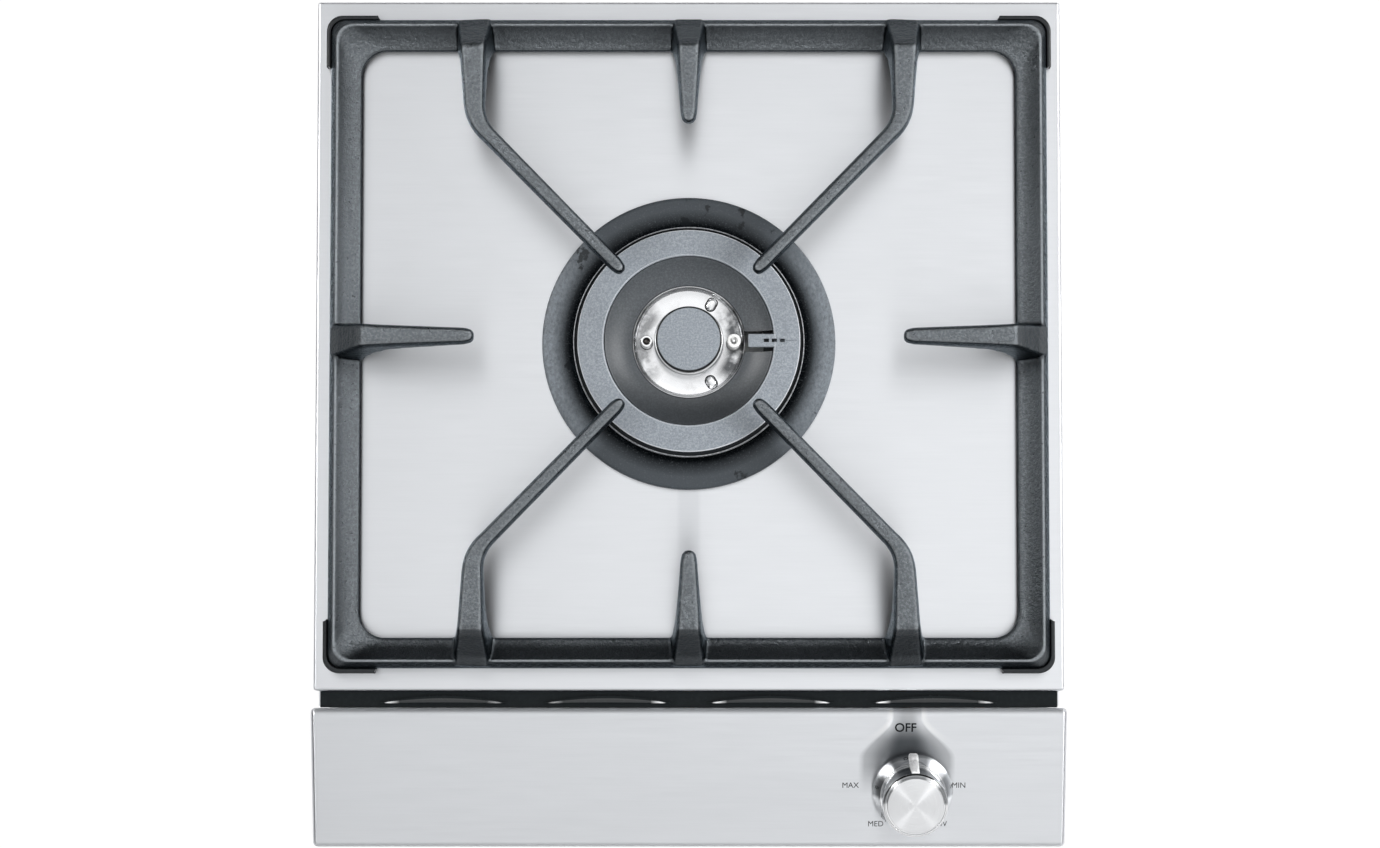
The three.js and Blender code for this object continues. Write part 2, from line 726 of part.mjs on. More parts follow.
function addOuterBurner() {
  const skirt = cupRadius - cupWall - clearance;
  const ledgeTop = cupRimHeight + 2;
  const crown = turned([
    [crownInnerRadius, 0],
    [skirt, 0],
    [skirt, cupRimHeight],
    [crownRadius, cupRimHeight],
    [crownRadius, crownRimHeight - 0.5],
    [crownRadius - 1, crownRimHeight],
    [crownPortRadius, crownRimHeight],
    [crownPortRadius, crownTopHeight],
    [crownInnerRadius, crownTopHeight],
    [crownInnerRadius, ledgeTop],
    [crownInnerRadius - 6, ledgeTop],
    [crownInnerRadius - 6, cupRimHeight],
    [crownInnerRadius, cupRimHeight],
  ], ring);
  const ports = radialSlots(
    crownPorts,
    crownPortWidth,
    crownInnerRadius - 1,
    crownPortRadius + 1,
    crownRimHeight + 0.6,
    crownTopHeight + 1,
  );
  add("outer_crown", cut(crown, ...ports), aluminium, burner);

  const capSkirt = crownInnerRadius - clearance;
  const cap = turned([
    [outerCapInnerRadius, ledgeTop + 1],
    [capSkirt, ledgeTop + 1],
    [capSkirt, crownTopHeight],
    [outerCapRadius - 0.5, crownTopHeight],
    [outerCapRadius, crownTopHeight + 0.5],
    [outerCapRadius - 0.4, crownTopHeight + outerCapEdge],
    [outerCapInnerRadius + 0.6, outerCapTopHeight],
    [outerCapInnerRadius, outerCapTopHeight - 0.4],
  ], ring);
  const bridge = box(
    bridgeTipRadius,
    outerCapInnerRadius + 0.6,
    -bridgeWidth / 2,
    bridgeWidth / 2,
    outerCapTopHeight - bridgeDepth,
    outerCapTopHeight,
  );
  const slots = [];
  for (let i = 0; i < bridgeSlots; i++) {
    const x = bridgeSlotStart + i * bridgeSlotPitch;
    const half = bridgeSlotLength / 2;
    slots.push(box(
      x - half,
      x + half,
      -bridgeSlotWidth / 2,
      bridgeSlotWidth / 2,
      crownTopHeight + 1,
      outerCapTopHeight + past,
    ));
  }
  add("outer_cap", cut(join(cap, bridge), ...slots), greyEnamel, burner);

  const funnelOuter = outerCapInnerRadius - clearance;
  const span = funnelOuter - funnelInnerRadius;
  const topLine = [];
  const steps = 4;
  for (let i = 0; i <= steps; i++) {
    const share = i / steps;
    const z = funnelTopHeight - funnelDrop * (1 - (1 - share) ** 1.7);
    topLine.push([funnelOuter - span * share, z]);
  }
  const underLine = topLine.slice(1).map(([r, z]) => [r, z - funnelThickness]);
  const funnel = turned([
    [funnelOuter, ledgeTop],
    ...topLine,
    ...underLine.reverse(),
    [funnelOuter - funnelThickness, funnelTopHeight - funnelThickness - 2.2],
    [funnelOuter - funnelThickness, ledgeTop],
  ], ring);
  const notch = box(
    funnelInnerRadius - past,
    funnelOuter + past,
    -funnelNotchWidth / 2,
    funnelNotchWidth / 2,
    0,
    funnelTopHeight + past,
  );
  add("burner_funnel", cut(funnel, notch), darkEnamel, burner);
}

function addInnerBurner() {
  const rim = funnelInnerRadius - clearance;
  const floorTop = bowlFloorHeight + bowlThickness;
  const rimTop = funnelTopHeight - funnelDrop - 0.4;
  const hole = mixingTubeRadius + clearance;
  const bowl = turned([
    [hole, bowlFloorHeight],
    [rim - 3.6, bowlFloorHeight],
    [rim - 1.2, bowlFloorHeight + 1.4],
    [rim, bowlFloorHeight + 4],
    [rim, rimTop],
    [rim - bowlThickness, rimTop],
    [rim - bowlThickness, bowlFloorHeight + 4.3],
    [rim - 2, floorTop + 1.2],
    [rim - 4, floorTop],
    [hole, floorTop],
  ], ring);
  const bosses = [-1, 1].map((side) => {
    const shape = new THREE.Shape();
    shape.absarc(bossLength / 2, 0, bossRadius, -Math.PI / 2, Math.PI / 2);
    shape.absarc(-bossLength / 2, 0, bossRadius, Math.PI / 2, Math.PI * 1.5);
    const boss = new THREE.ExtrudeGeometry(shape, {
      depth: bossHeight + lap,
      bevelEnabled: false,
      curveSegments: 4,
    });
    boss.translate(bossCircle, 0, floorTop - lap);
    return boss.rotateZ(side * bossAngle);
  });
  add("burner_bowl", cut(join(bowl, ...bosses), ...sensorTools()), polished, burner);

  const portRadius = mixingTubeRadius;
  const bore = mixingTubeRadius - cupWall;
  const crown = turned([
    [hole, floorTop + 1.5],
    [innerCollarRadius - 0.6, floorTop + 1.5],
    [innerCollarRadius - 0.6, innerCollarHeight - 3],
    [innerCollarRadius, innerCollarHeight - 2.4],
    [innerCollarRadius, innerCollarHeight],
    [innerCollarRadius - 1, innerCollarHeight + 0.6],
    [portRadius, innerCollarHeight + 0.6],
    [portRadius, innerCrownHeight],
    [bore, innerCrownHeight],
    [bore, mixingTubeHeight],
    [hole, mixingTubeHeight],
  ], smallRing);
  const ports = radialSlots(
    innerPorts,
    innerPortWidth,
    bore - 1,
    portRadius + 1,
    innerCollarHeight + 1.2,
    innerCrownHeight + 1,
  );
  add("inner_crown", cut(crown, ...ports), aluminium, burner);

  const capTop = innerCrownHeight + innerCapThickness;
  add("inner_cap", turned([
    [0, innerCrownHeight],
    [bore - 2, innerCrownHeight],
    [bore - 2, innerCrownHeight - 3.5],
    [bore - clearance, innerCrownHeight - 3.5],
    [bore - clearance, innerCrownHeight],
    [innerCapRadius - 0.5, innerCrownHeight],
    [innerCapRadius, innerCrownHeight + 0.6],
    [innerCapRadius, capTop - 1.4],
    [innerCapRadius - 0.6, capTop - 0.5],
    [innerCapRadius - 3, capTop],
    [0, capTop],
  ], smallRing), greyEnamel, burner);
}

function addSensors() {
  const bottom = cupFloor - sensorTail;
  add("spark_electrode_ceramic", turned([
    [pinRadius + clearance, bottom],
    [electrodeRadius, bottom],
    [electrodeRadius, electrodeHeight - 0.5],
    [electrodeRadius - 0.5, electrodeHeight],
    [pinRadius + clearance, electrodeHeight],
  ], tubeSides), ceramic, burner).position.x = electrodeX;
  add("spark_electrode_pin", turned([
    [0, bottom - pinTail],
    [pinRadius, bottom - pinTail],
    [pinRadius, electrodeHeight + pinStandout],
    [0, electrodeHeight + pinStandout],
  ], screwSides), polished, burner).position.x = electrodeX;
  add("thermocouple_sleeve", turned([
    [thermocoupleTipRadius + clearance, bottom],
    [thermocoupleRadius, bottom],
    [thermocoupleRadius, thermocoupleHeight],
    [thermocoupleTipRadius + clearance, thermocoupleHeight],
  ], tubeSides), polished, burner).position.x = thermocoupleX;
  add("thermocouple_tip", turned([
    [0, bottom - pinTail],
    [thermocoupleTipRadius, bottom - pinTail],
    [thermocoupleTipRadius, thermocoupleHeight + thermocoupleTipHeight - 1],
    [0, thermocoupleHeight + thermocoupleTipHeight],
  ], screwSides), brass, burner).position.x = thermocoupleX;
}

// ---------------------------------------------------------------- pan support
// The bar's cross-section: [distance in from the outer edge, height above the plate].
function barProfile() {
  const profile = [
    [0, barFoot],
    [0, ridgeHeight - 4],
    [1.6, ridgeHeight],
    [4, ridgeHeight],
  ];
  const slopeEnd = barWidth - 0.9;
  const slopeFoot = barFoot + 3.5;
  const steps = 4;
  for (let i = 1; i <= steps; i++) {
    const share = i / steps;
    const hollow = (1 - share) ** 1.6;
    profile.push([4 + (slopeEnd - 4) * share, slopeFoot + (ridgeHeight - slopeFoot) * hollow]);
  }
  profile.push([barWidth, slopeFoot - 1.2], [barWidth, barFoot]);
  return profile;
}

function gridFrame() {
  const rows = barProfile().map(([inset, z]) => {
    const radius = THREE.MathUtils.mapLinear(inset, 0, barWidth, gridOuterCorner, gridInnerCorner);
    return roundedLoop(gridWidth / 2 - inset, gridDepth / 2 - inset, radius, z);
  });
  return skin(rows, true);
}

// A finger follows a path on the plate's plane. Each station is [distance along the path, top,
// underside, half width of the top, half width of the underside].
function finger(path, stations) {
  const length = path.getLength();
  const chamfer = 1.2;
  const rows = stations.map(([distance, top, under, halfTop, halfUnder]) => {
    const share = Math.min(distance / length, 1);
    const point = path.getPointAt(share);
    const along = path.getTangentAt(share);
    const side = at(-along.y, along.x, 0);
    const place = (offset, z) => point.clone().addScaledVector(side, offset).setZ(z);
    return [
      place(-halfUnder, under),
      place(halfUnder, under),
      place(halfTop, top - chamfer),
      place(halfTop - chamfer, top),
      place(chamfer - halfTop, top),
      place(-halfTop, top - chamfer),
    ];
  });
  return skin(rows, false);
}

// The root of every finger: it sweeps up from the bar's ridge to the full height, and the web under
// it tapers away behind the bar.
function rootStations(halfRoot) {
  return [
    [0.8, ridgeHeight - 1.5, barFoot, halfRoot + 2.2, halfRoot + 2.2],
    [5.5, ridgeHeight + 2, barFoot, halfRoot + 1.9, halfRoot + 3],
    [10, ridgeHeight + 9, barFoot, halfRoot + 1.2, halfRoot + 3],
    [13, gridHeight - 6, barFoot, halfRoot + 0.4, halfRoot + 3],
    [barWidth - 0.6, gridHeight - 0.6, barFoot + 1, halfRoot, halfRoot + 3],
    [barWidth + 1, gridHeight, barFoot + 5, halfRoot, halfRoot + 2.4],
    [barWidth + 7, gridHeight, barFoot + 15, halfRoot - 0.2, halfRoot + 1],
    [barWidth + 17, gridHeight, gridHeight - 13, halfRoot - 0.6, halfRoot - 0.2],
  ];
}

const tipThickness = 9.5;

function shortFinger(reach) {
  const length = reach - fingerTipRadius;
  const path = bentPath([at(0, reach, 0), at(0, fingerTipRadius, 0)], 0);
  return finger(path, [
    ...rootStations(6.1),
    [length - 5, gridHeight, gridHeight - tipThickness, 4.2, 3.8],
    [length - 1.5, gridHeight - 0.2, gridHeight - tipThickness + 0.6, 3.4, 3],
    [length, gridHeight - 1.6, gridHeight - tipThickness + 2, 1.8, 1.4],
  ]);
}

function longFinger() {
  const reach = gridDepth / 2;
  const corners = [
    at(longFingerX, reach, 0),
    at(longFingerX - 1.5, longFingerBend, 0),
    at(longFingerTip, longFingerTip - 0.7, 0),
  ];
  const path = bentPath(corners, 9);
  const length = path.getLength();
  const bendAt = reach - longFingerBend;
  return finger(path, [
    ...rootStations(6.7),
    [bendAt - 9, gridHeight, gridHeight - 12, 5.4, 5.2],
    [bendAt - 3, gridHeight, gridHeight - 11.5, 5, 4.8],
    [bendAt + 3, gridHeight, gridHeight - 11, 4.5, 4.3],
    [bendAt + 9, gridHeight, gridHeight - 11, 4, 3.8],
    [length - 5, gridHeight, gridHeight - tipThickness, 3.7, 3.4],
    [length - 1.5, gridHeight - 0.2, gridHeight - tipThickness + 0.6, 3, 2.7],
    [length, gridHeight - 1.6, gridHeight - tipThickness + 2, 1.6, 1.3],
  ]);
}

function mirrored(geometry, sx, sy) {
  const made = geometry.clone().scale(sx, sy, 1);
  if (sx * sy < 0) {
    const index = made.index.array;
    for (let i = 0; i < index.length; i += 3) {
      [index[i + 1], index[i + 2]] = [index[i + 2], index[i + 1]];
    }
  }
  return made;
}

function addPanSupport() {
  const north = shortFinger(gridDepth / 2);
  const east = shortFinger(gridWidth / 2).rotateZ(-Math.PI / 2);
  const long = longFinger();
  const fingers = [
    north,
    mirrored(north, 1, -1),
    east,
    mirrored(east, -1, 1),
    long,
    mirrored(long, -1, 1),
    mirrored(long, 1, -1),
    mirrored(long, -1, -1),
  ];
  add("pan_support", join(gridFrame(), ...fingers), castIron, burner);
}

// A corner pad wraps the outside of the frame's corner and lies under it.
function addCornerPads() {
  const gap = clearance;
  const profile = [
    [-padStandout, 0],
    [-padStandout, padHeight],
    [-gap, padHeight],
    [-gap, barFoot - gap],
    [barWidth / 2, barFoot - gap],
    [barWidth / 2, 0],
  ];
  const names = { rear_right: [1, 1], rear_left: [-1, 1], front_left: [-1, -1], front_right: [1, -1] };
  for (const [place, [sx, sy]] of Object.entries(names)) {
    const steps = 4;
    const rows = [];
    for (let i = -1; i <= steps + 1; i++) {
      const row = profile.map(([inset, z]) => {
        const radius = Math.max(gridOuterCorner - inset * 0.4, 1);
        const centreX = gridWidth / 2 - inset - radius;
        const centreY = gridDepth / 2 - inset - radius;
        const angle = (THREE.MathUtils.clamp(i, 0, steps) / steps) * (Math.PI / 2);
        const point = at(centreX + radius * Math.cos(angle), centreY + radius * Math.sin(angle), z);
        if (i < 0) point.y = gridDepth / 2 - padArm;
        if (i > steps) point.x = gridWidth / 2 - padArm;
        return point;
      });
      rows.push(row);
    }
    add(`corner_pad_${place}`, mirrored(skin(rows.reverse(), false), sx, sy), rubber, burner);
  }
}

// ---------------------------------------------------------------- knob, valve and gas line
function addKnob() {
  const base = knobGap;
  const top = knobGap + knobHeight;
  const skirtTop = base + skirtHeight;
  const hubBore = stemRadius + clearance;
  const shellBore = hubRadius + clearance;
  const shellDepth = top - 4;
  const skirt = turned([
    [shellBore, base + 1],
    [skirtRadius - 1, base],
    [skirtRadius, base + 1],
    [skirtTopRadius, skirtTop],
    [barrelRadius - 3, skirtTop],
    [barrelRadius - 3, skirtTop - 3],
    [shellBore, skirtTop - 3],
  ], knobRing);
  // The index is a buttress down the barrel and the skirt, wider and further out towards its foot.
  const indexFoot = base + 1.4;
  const indexTop = top - 2.6;
  const indexPart = (z0, z1, inner) => skin([z0, z1].map((z) => {
    const share = (z - indexFoot) / (indexTop - indexFoot);
    const half = THREE.MathUtils.lerp(indexFootWidth, indexTopWidth, share) / 2;
    const reach = THREE.MathUtils.lerp(skirtRadius, barrelRadius + 0.3, share);
    return [at(-half, inner, z), at(half, inner, z), at(half, reach, z), at(-half, reach, z)];
  }), false);
  const skirtIndex = indexPart(indexFoot, skirtTop, barrelRadius);
  add("knob_skirt", join(skirt, skirtIndex), polished, control);

  const barrel = turned([
    [0, shellDepth],
    [shellBore, shellDepth],
    [shellBore, skirtTop - 3 + clearance],
    [barrelRadius - 3 - clearance, skirtTop - 3 + clearance],
    [barrelRadius - 3 - clearance, skirtTop + clearance],
    [barrelRadius, skirtTop + clearance],
    [barrelRadius, top - 3],
    [barrelRadius - 0.6, top - 1.2],
    [faceRadius, top],
    [0, top],
  ], knobRing);
  const barrelIndex = indexPart(skirtTop + clearance, indexTop, barrelRadius - 2);
  add("knob_barrel", join(barrel, barrelIndex), polished, control);

  const hub = turned([
    [0, shellDepth - 4],
    [hubBore, shellDepth - 4],
    [hubBore, base + 1],
    [hubRadius, base + 1],
    [hubRadius, shellDepth - clearance],
    [0, shellDepth - clearance],
  ], tubeSides);
  add("knob_hub", hub, blackPlastic, control);

  const stemTop = shellDepth - 4 - clearance;
  const stemBottom = -valveDrop - pushTravel - stemReach;
  const stem = turned([
    [0, stemBottom],
    [stemRadius - 1, stemBottom],
    [stemRadius, stemBottom + 1],
    [stemRadius, stemTop],
    [0, stemTop],
  ], tubeSides);
  const flat = box(-10, 10, stemRadius - 1, 10, base, stemTop + 5);
  add("valve_stem", cut(stem, flat), brass, control);

  // The collar slides in and out with the stem and presses the ignition switch. It doesn't turn.
  const collarBottom = -valveDrop + pushTravel + clearance;
  add("stem_collar", turned([
    [stemRadius + clearance, collarBottom],
    [collarRadius, collarBottom],
    [collarRadius, collarBottom + collarLength],
    [stemRadius + clearance, collarBottom + collarLength],
  ], tubeSides), brass, control);
}

const valveTop = -valveDrop;
const valveBottom = valveTop - valveLength;
const portZ = valveBottom + portRise;
const portReach = valveRadius + portLength;

// A point of the control group's frame in the model's frame.
function fromControl(x, y, z) {
  control.updateMatrixWorld(true);
  return at(x, y, z).applyMatrix4(control.matrixWorld);
}

const portGap = portReach + clearance;
const rearPort = fromControl(0, portGap, portZ);
const leftPort = fromControl(-portGap, 0, portZ);
const rightPort = fromControl(portGap, 0, portZ);
const inletHeight = rightPort.z;

function addValve() {
  const boreBottom = -valveDrop - 2 * pushTravel - stemReach - 2;
  const body = turned([
    [0, valveBottom],
    [valveRadius - valveEdge, valveBottom],
    [valveRadius, valveBottom + valveEdge],
    [valveRadius, valveTop],
    [stemRadius + clearance, valveTop],
    [stemRadius + clearance, boreBottom],
    [0, boreBottom],
  ], tubeSides);
  const port = lengthwiseRod(0, 0, portReach, portZ, pipeRadius + portWall);
  const ports = [0, Math.PI / 2, -Math.PI / 2].map((turn) => port.clone().rotateZ(turn));
  // Two ears carry the valve under the panel, each a plate with a pillar.
  const earReach = valveRadius + earLength;
  const earTop = valveTop - 2;
  const pillarX = earReach - earThickness;
  const ears = [-1, 1].flatMap((side) => {
    const [x0, x1] = ordered(side * (valveRadius - 2), side * earReach);
    return [
      box(x0, x1, -earWidth / 2, earWidth / 2, earTop - earThickness, earTop),
      rod(earThickness, earTop - 2, -sheet - clearance, screwSides).translate(side * pillarX, 0, 0),
    ];
  });
  add("valve_body", join(body, ...ports, ...ears), brass, control);
  const near = collarRadius + 1;
  const half = switchLength / 2;
  const foot = valveTop + clearance;
  add("ignition_switch", join(
    box(-half, half, near, near + switchDepth, foot, foot + switchHeight),
    box(-1.5, 1.5, near + 2, near + 5, foot + switchHeight - lap, foot + switchHeight + 1.5),
  ), blackPlastic, control);
}

const venturiZ = plateTop + cupFloor + cupWall + venturiRadius;
const outerInjectorY = burnerY - cupRadius - venturiLength - injectorGap;
const innerInjectorZ = plateTop + cupFloor - injectorGap;

// The injector holder stands on the base pan: a low rail with a column for each injector.
const columnY = outerInjectorY - injectorLength - clearance;
const blockTop = innerInjectorZ - injectorLength - clearance;

function addInjectors() {
  const injector = (bore) => turned([
    [bore, 0],
    [injectorRadius, 0],
    [injectorRadius, injectorLength - 4],
    [injectorRadius - 2, injectorLength],
    [bore, injectorLength],
  ], tubeSides);
  const outer = injector(0.6).rotateX(-Math.PI / 2);
  add("outer_injector", outer, brass).position.set(0, outerInjectorY - injectorLength, venturiZ);
  const inner = injector(0.4);
  add("inner_injector", inner, brass).position.set(0, burnerY, innerInjectorZ - injectorLength);
  const railTop = panFloorTop + railHeight;
  const half = holderHalf;
  add("injector_holder", join(
    box(-half, half, columnY - columnDepth, columnY, panFloorTop, venturiZ + columnRise),
    box(-half, half, columnY - lap, burnerY + half, panFloorTop, railTop),
    box(-half, half, burnerY - half, burnerY + half, railTop - lap, blockTop),
  ), aluminium);
}

function addGasLine() {
  const outerEnd = at(0, columnY - columnDepth - clearance, venturiZ);
  add("outer_feed_pipe", pipe([
    leftPort,
    at(0, leftPort.y, leftPort.z),
    outerEnd.clone().add(at(0, -30, 0)),
    outerEnd,
  ], pipeRadius, pipeBore, pipeBend, 14), copper);

  const innerEnd = at(0, burnerY - holderHalf - clearance, blockTop - 8);
  add("inner_feed_pipe", pipe([
    rearPort,
    fromControl(0, portGap + 16, portZ),
    innerEnd.clone().add(at(0, -60, 0)),
    innerEnd,
  ], pipeRadius, pipeBore, pipeBend, 14), copper);

  const fittingBackY = rearPanelInnerY - clearance;
  const fittingFrontY = fittingBackY - fittingLength;
  add("inlet_pipe", pipe([
    at(inletX, fittingFrontY - clearance, inletHeight),
    at(inletX, rightPort.y, inletHeight),
    rightPort,
  ], pipeRadius, pipeBore, pipeBend, 14), copper);

  const half = inletRadius + fittingWall;
  const threadEnd = rearPanelY + inletStandout;
  const block = box(
    inletX - half,
    inletX + half,
    fittingFrontY,
    fittingBackY,
    inletHeight - half,
    inletHeight + half,
  );
  const threadY = fittingBackY - lap;
  const thread = lengthwiseRod(inletX, threadY, threadEnd, inletHeight, inletRadius, smallRing);
  const boreY = fittingFrontY - past;
  const bore = lengthwiseRod(inletX, boreY, threadEnd + past, inletHeight, pipeBore * 2, 16);
  add("gas_inlet_fitting", cut(join(block, thread), bore), brass);

  const nutY = rearPanelY + clearance;
  const nutEnd = nutY + inletNutLength;
  const nutBore = inletRadius + clearance;
  add("inlet_locknut", cut(
    lengthwiseRod(inletX, nutY, nutEnd, inletHeight, inletNutRadius, 6),
    lengthwiseRod(inletX, nutY - past, nutEnd + past, inletHeight, nutBore, smallRing),
  ), brass);
}

// ---------------------------------------------------------------- ignition
function addIgnition() {
  const unitY = burnerY + ignitionSetback;
  const generatorEndX = generatorX + generatorWidth;
  const generatorMiddleX = generatorX + generatorWidth / 2;
  add("spark_generator", box(
    generatorX,
    generatorEndX,
    unitY,
    unitY + generatorDepth,
    panFloorTop,
    panFloorTop + generatorHeight,
  ), blackPlastic);

  const wall = batteryBoxWall;
  const boxEndX = batteryBoxWidth - batteryBoxX;
  const boxTop = panFloorTop + batteryBoxHeight;
  const cellZ = panFloorTop + wall + clearance + cellRadius;
  add("battery_box", cut(
    box(-batteryBoxX, boxEndX, unitY, unitY + batteryBoxDepth, panFloorTop, boxTop),
    box(
      wall - batteryBoxX,
      boxEndX - wall,
      unitY + wall,
      unitY + batteryBoxDepth - wall,
      panFloorTop + wall,
      boxTop + past,
    ),
  ), blackPlastic);
  const cell = rod(cellRadius, -cellLength / 2, cellLength / 2, smallRing).rotateY(Math.PI / 2);
  const cellX = boxEndX - batteryBoxWidth / 2;
  add("battery_cell", cell, stainless).position.set(cellX, unitY + batteryBoxDepth / 2, cellZ);

  const lead = (name, corners, material, steps) =>
    add(name, pipe(corners, leadRadius, 0, leadBend, steps), material);
  const leadZ = panFloorTop + leadHeight;
  const pinFoot = plateTop + cupFloor - sensorTail - pinTail - clearance;
  const sparkY = unitY + generatorDepth / 2;
  lead("ignition_lead", [
    at(generatorX - clearance, sparkY, leadZ),
    at(electrodeX, sparkY, leadZ),
    at(electrodeX, burnerY, leadZ),
    at(electrodeX, burnerY, pinFoot),
  ], leadSheath, 14);

  const lowZ = panFloorTop + lowLeadHeight;
  const frontRunY = columnY - 3 * columnDepth;
  lead("thermocouple_lead", [
    at(thermocoupleX, burnerY, pinFoot),
    at(thermocoupleX, burnerY, lowZ),
    at(thermocoupleX, frontRunY, lowZ),
    at(knobX, frontRunY, lowZ),
    fromControl(0, 0, valveBottom - 2 * pipeBend),
    fromControl(0, 0, valveBottom - clearance),
  ], copper, 26);

  const switchX = switchLength / 2;
  const switchY = collarRadius + 1 + switchDepth / 2;
  const switchZ = valveTop + switchHeight / 2;
  lead("switch_lead", [
    fromControl(-switchX - clearance, switchY, switchZ),
    fromControl(-3 * switchX, switchY, switchZ),
    at(knobX - 2 * switchDepth, lipY + 2 * switchDepth, leadZ + generatorHeight / 2),
    at(generatorMiddleX, unitY - generatorDepth / 2, leadZ),
    at(generatorMiddleX, unitY - clearance, leadZ),
  ], blackPlastic, 18);

  const batteryLeadY = unitY + batteryBoxDepth * 0.7;
  const batteryLeadZ = panFloorTop + batteryBoxHeight / 2;
  lead("battery_lead", [
    at(boxEndX + clearance, batteryLeadY, batteryLeadZ),
    at(generatorX - clearance, batteryLeadY, batteryLeadZ),
  ], blackPlastic, 2);
}

// ---------------------------------------------------------------- assembly
const footPlaces = addFeet();
addBasePan(footPlaces);
addSidePanel("side_panel_left", -1);
addSidePanel("side_panel_right", 1);
addRearPanel();
addTopPlate();
addControlPanel();
addVentStrip();
addBurnerBody();
addOuterBurner();
addInnerBurner();
addSensors();
addPanSupport();
addCornerPads();
addKnob();
addValve();
addInjectors();
addGasLine();
addIgnition();

export default model;
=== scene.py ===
"""Looks of a single-burner gas hob: brushed steel case, cast pan support, dual-ring burner, turned knob.

Lengths in the shapes are millimetres, in the frame of the burner or of the knob, and MM turns them into
metres. Lengths in the camera, the lamps and the materials are metres.
"""
import json
import math

import bmesh
import bpy
from mathutils import Matrix, Vector


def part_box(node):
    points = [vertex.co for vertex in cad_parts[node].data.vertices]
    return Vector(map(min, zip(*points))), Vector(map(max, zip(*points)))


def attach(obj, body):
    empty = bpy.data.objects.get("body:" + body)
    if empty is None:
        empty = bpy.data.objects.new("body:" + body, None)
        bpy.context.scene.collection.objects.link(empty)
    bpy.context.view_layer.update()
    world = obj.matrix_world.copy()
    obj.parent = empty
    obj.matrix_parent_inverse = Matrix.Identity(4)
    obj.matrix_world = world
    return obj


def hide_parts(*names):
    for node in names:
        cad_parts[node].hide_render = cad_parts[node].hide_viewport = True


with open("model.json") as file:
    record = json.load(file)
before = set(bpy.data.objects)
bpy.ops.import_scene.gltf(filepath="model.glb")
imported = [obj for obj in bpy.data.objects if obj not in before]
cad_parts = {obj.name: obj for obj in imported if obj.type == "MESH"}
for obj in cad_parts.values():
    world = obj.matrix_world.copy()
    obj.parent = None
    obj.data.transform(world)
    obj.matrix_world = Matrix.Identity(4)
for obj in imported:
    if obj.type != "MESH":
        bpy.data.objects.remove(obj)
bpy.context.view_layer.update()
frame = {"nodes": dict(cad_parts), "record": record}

MM = 0.001
plate_low, plate_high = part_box("top_plate")
panel_low, panel_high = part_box("control_panel")
turn_joint = next(j for j in frame["record"]["behaviour"]["joints"] if j["name"] == "knob_turn")
slope = math.asin(-turn_joint["axis"][1])
plate_middle_y = (plate_low.y + plate_high.y) / 2
BURNER = Matrix.Translation((0, plate_middle_y, plate_high.z))
CONTROL = Matrix.Translation(turn_joint["pos_m"]) @ Matrix.Rotation(slope, 4, "X")
WORLD = Matrix.Identity(4)


def fill_ramp(ramp, stops):
    """Sets a colour ramp's stops from (position, colour) pairs."""
    elements = ramp.color_ramp.elements
    elements.remove(elements[-1])
    for i, (position, color) in enumerate(stops):
        stop = elements[0] if i == 0 else elements.new(position)
        stop.position = position
        stop.color = (*color, 1)


def placed(name, data):
    """A new object in the scene."""
    obj = bpy.data.objects.new(name, data)
    bpy.context.scene.collection.objects.link(obj)
    return obj


def mixed(tree, share, first, second):
    """The output of two shaders mixed by share."""
    mix = tree.nodes.new("ShaderNodeMixShader")
    for output, socket in zip((share, first, second), mix.inputs):
        tree.links.new(output, socket)
    return mix.outputs[0]


# ---------------- camera, floor and light
def aimed(name, data, place, target):
    """A new object at place that faces target."""
    obj = placed(name, data)
    obj.location = place
    obj.rotation_euler = (Vector(target) - Vector(place)).to_track_quat("-Z", "Y").to_euler()
    return obj


def add_camera():
    """A long lens almost straight above the part, with a small shift up instead of a tilt."""
    x = 0.0006
    data = bpy.data.cameras.new("camera")
    data.lens = 97.9
    data.sensor_width = 36
    data.clip_end = 20
    data.shift_y = 0.06
    bpy.context.scene.camera = aimed("camera", data, (x, -0.18, 2.0), (x, -0.0436, 0.1))


def add_softbox(name, place, target, size, power, mirrored):
    """A square lamp. One that is mirrored shows only in metal and gloss, the others only light things up."""
    data = bpy.data.lights.new(name, "AREA")
    data.shape = "SQUARE"
    data.size = size
    data.energy = power
    lamp = aimed(name, data, place, target)
    lamp.visible_glossy = mirrored
    lamp.visible_diffuse = not mirrored


def add_floor():
    """A pale floor just under the feet. The camera sees it white, with a trace of the part's shadow."""
    half, clearance = 6, 0.0002
    mesh = bpy.data.meshes.new("floor")
    corners = [(-half, -half, 0), (half, -half, 0), (half, half, 0), (-half, half, 0)]
    mesh.from_pydata(corners, [], [(0, 1, 2, 3)])
    floor = placed("floor", mesh)
    floor.location.z = -clearance
    material = bpy.data.materials.new("pale_floor")
    material.use_nodes = True
    nodes, links = material.node_tree.nodes, material.node_tree.links
    nodes.clear()
    out = nodes.new("ShaderNodeOutputMaterial")
    path = nodes.new("ShaderNodeLightPath")
    diffuse = nodes.new("ShaderNodeBsdfDiffuse")
    diffuse.inputs["Color"].default_value = (0.68, 0.68, 0.69, 1)
    glow = nodes.new("ShaderNodeEmission")
    glow.inputs["Strength"].default_value = 1.06
    share = nodes.new("ShaderNodeMath")
    share.operation = "MULTIPLY"
    share.inputs[1].default_value = 0.92
    links.new(path.outputs["Is Camera Ray"], share.inputs[0])
    surface = mixed(material.node_tree, share.outputs[0], diffuse.outputs[0], glow.outputs[0])
    links.new(surface, out.inputs["Surface"])
    mesh.materials.append(material)


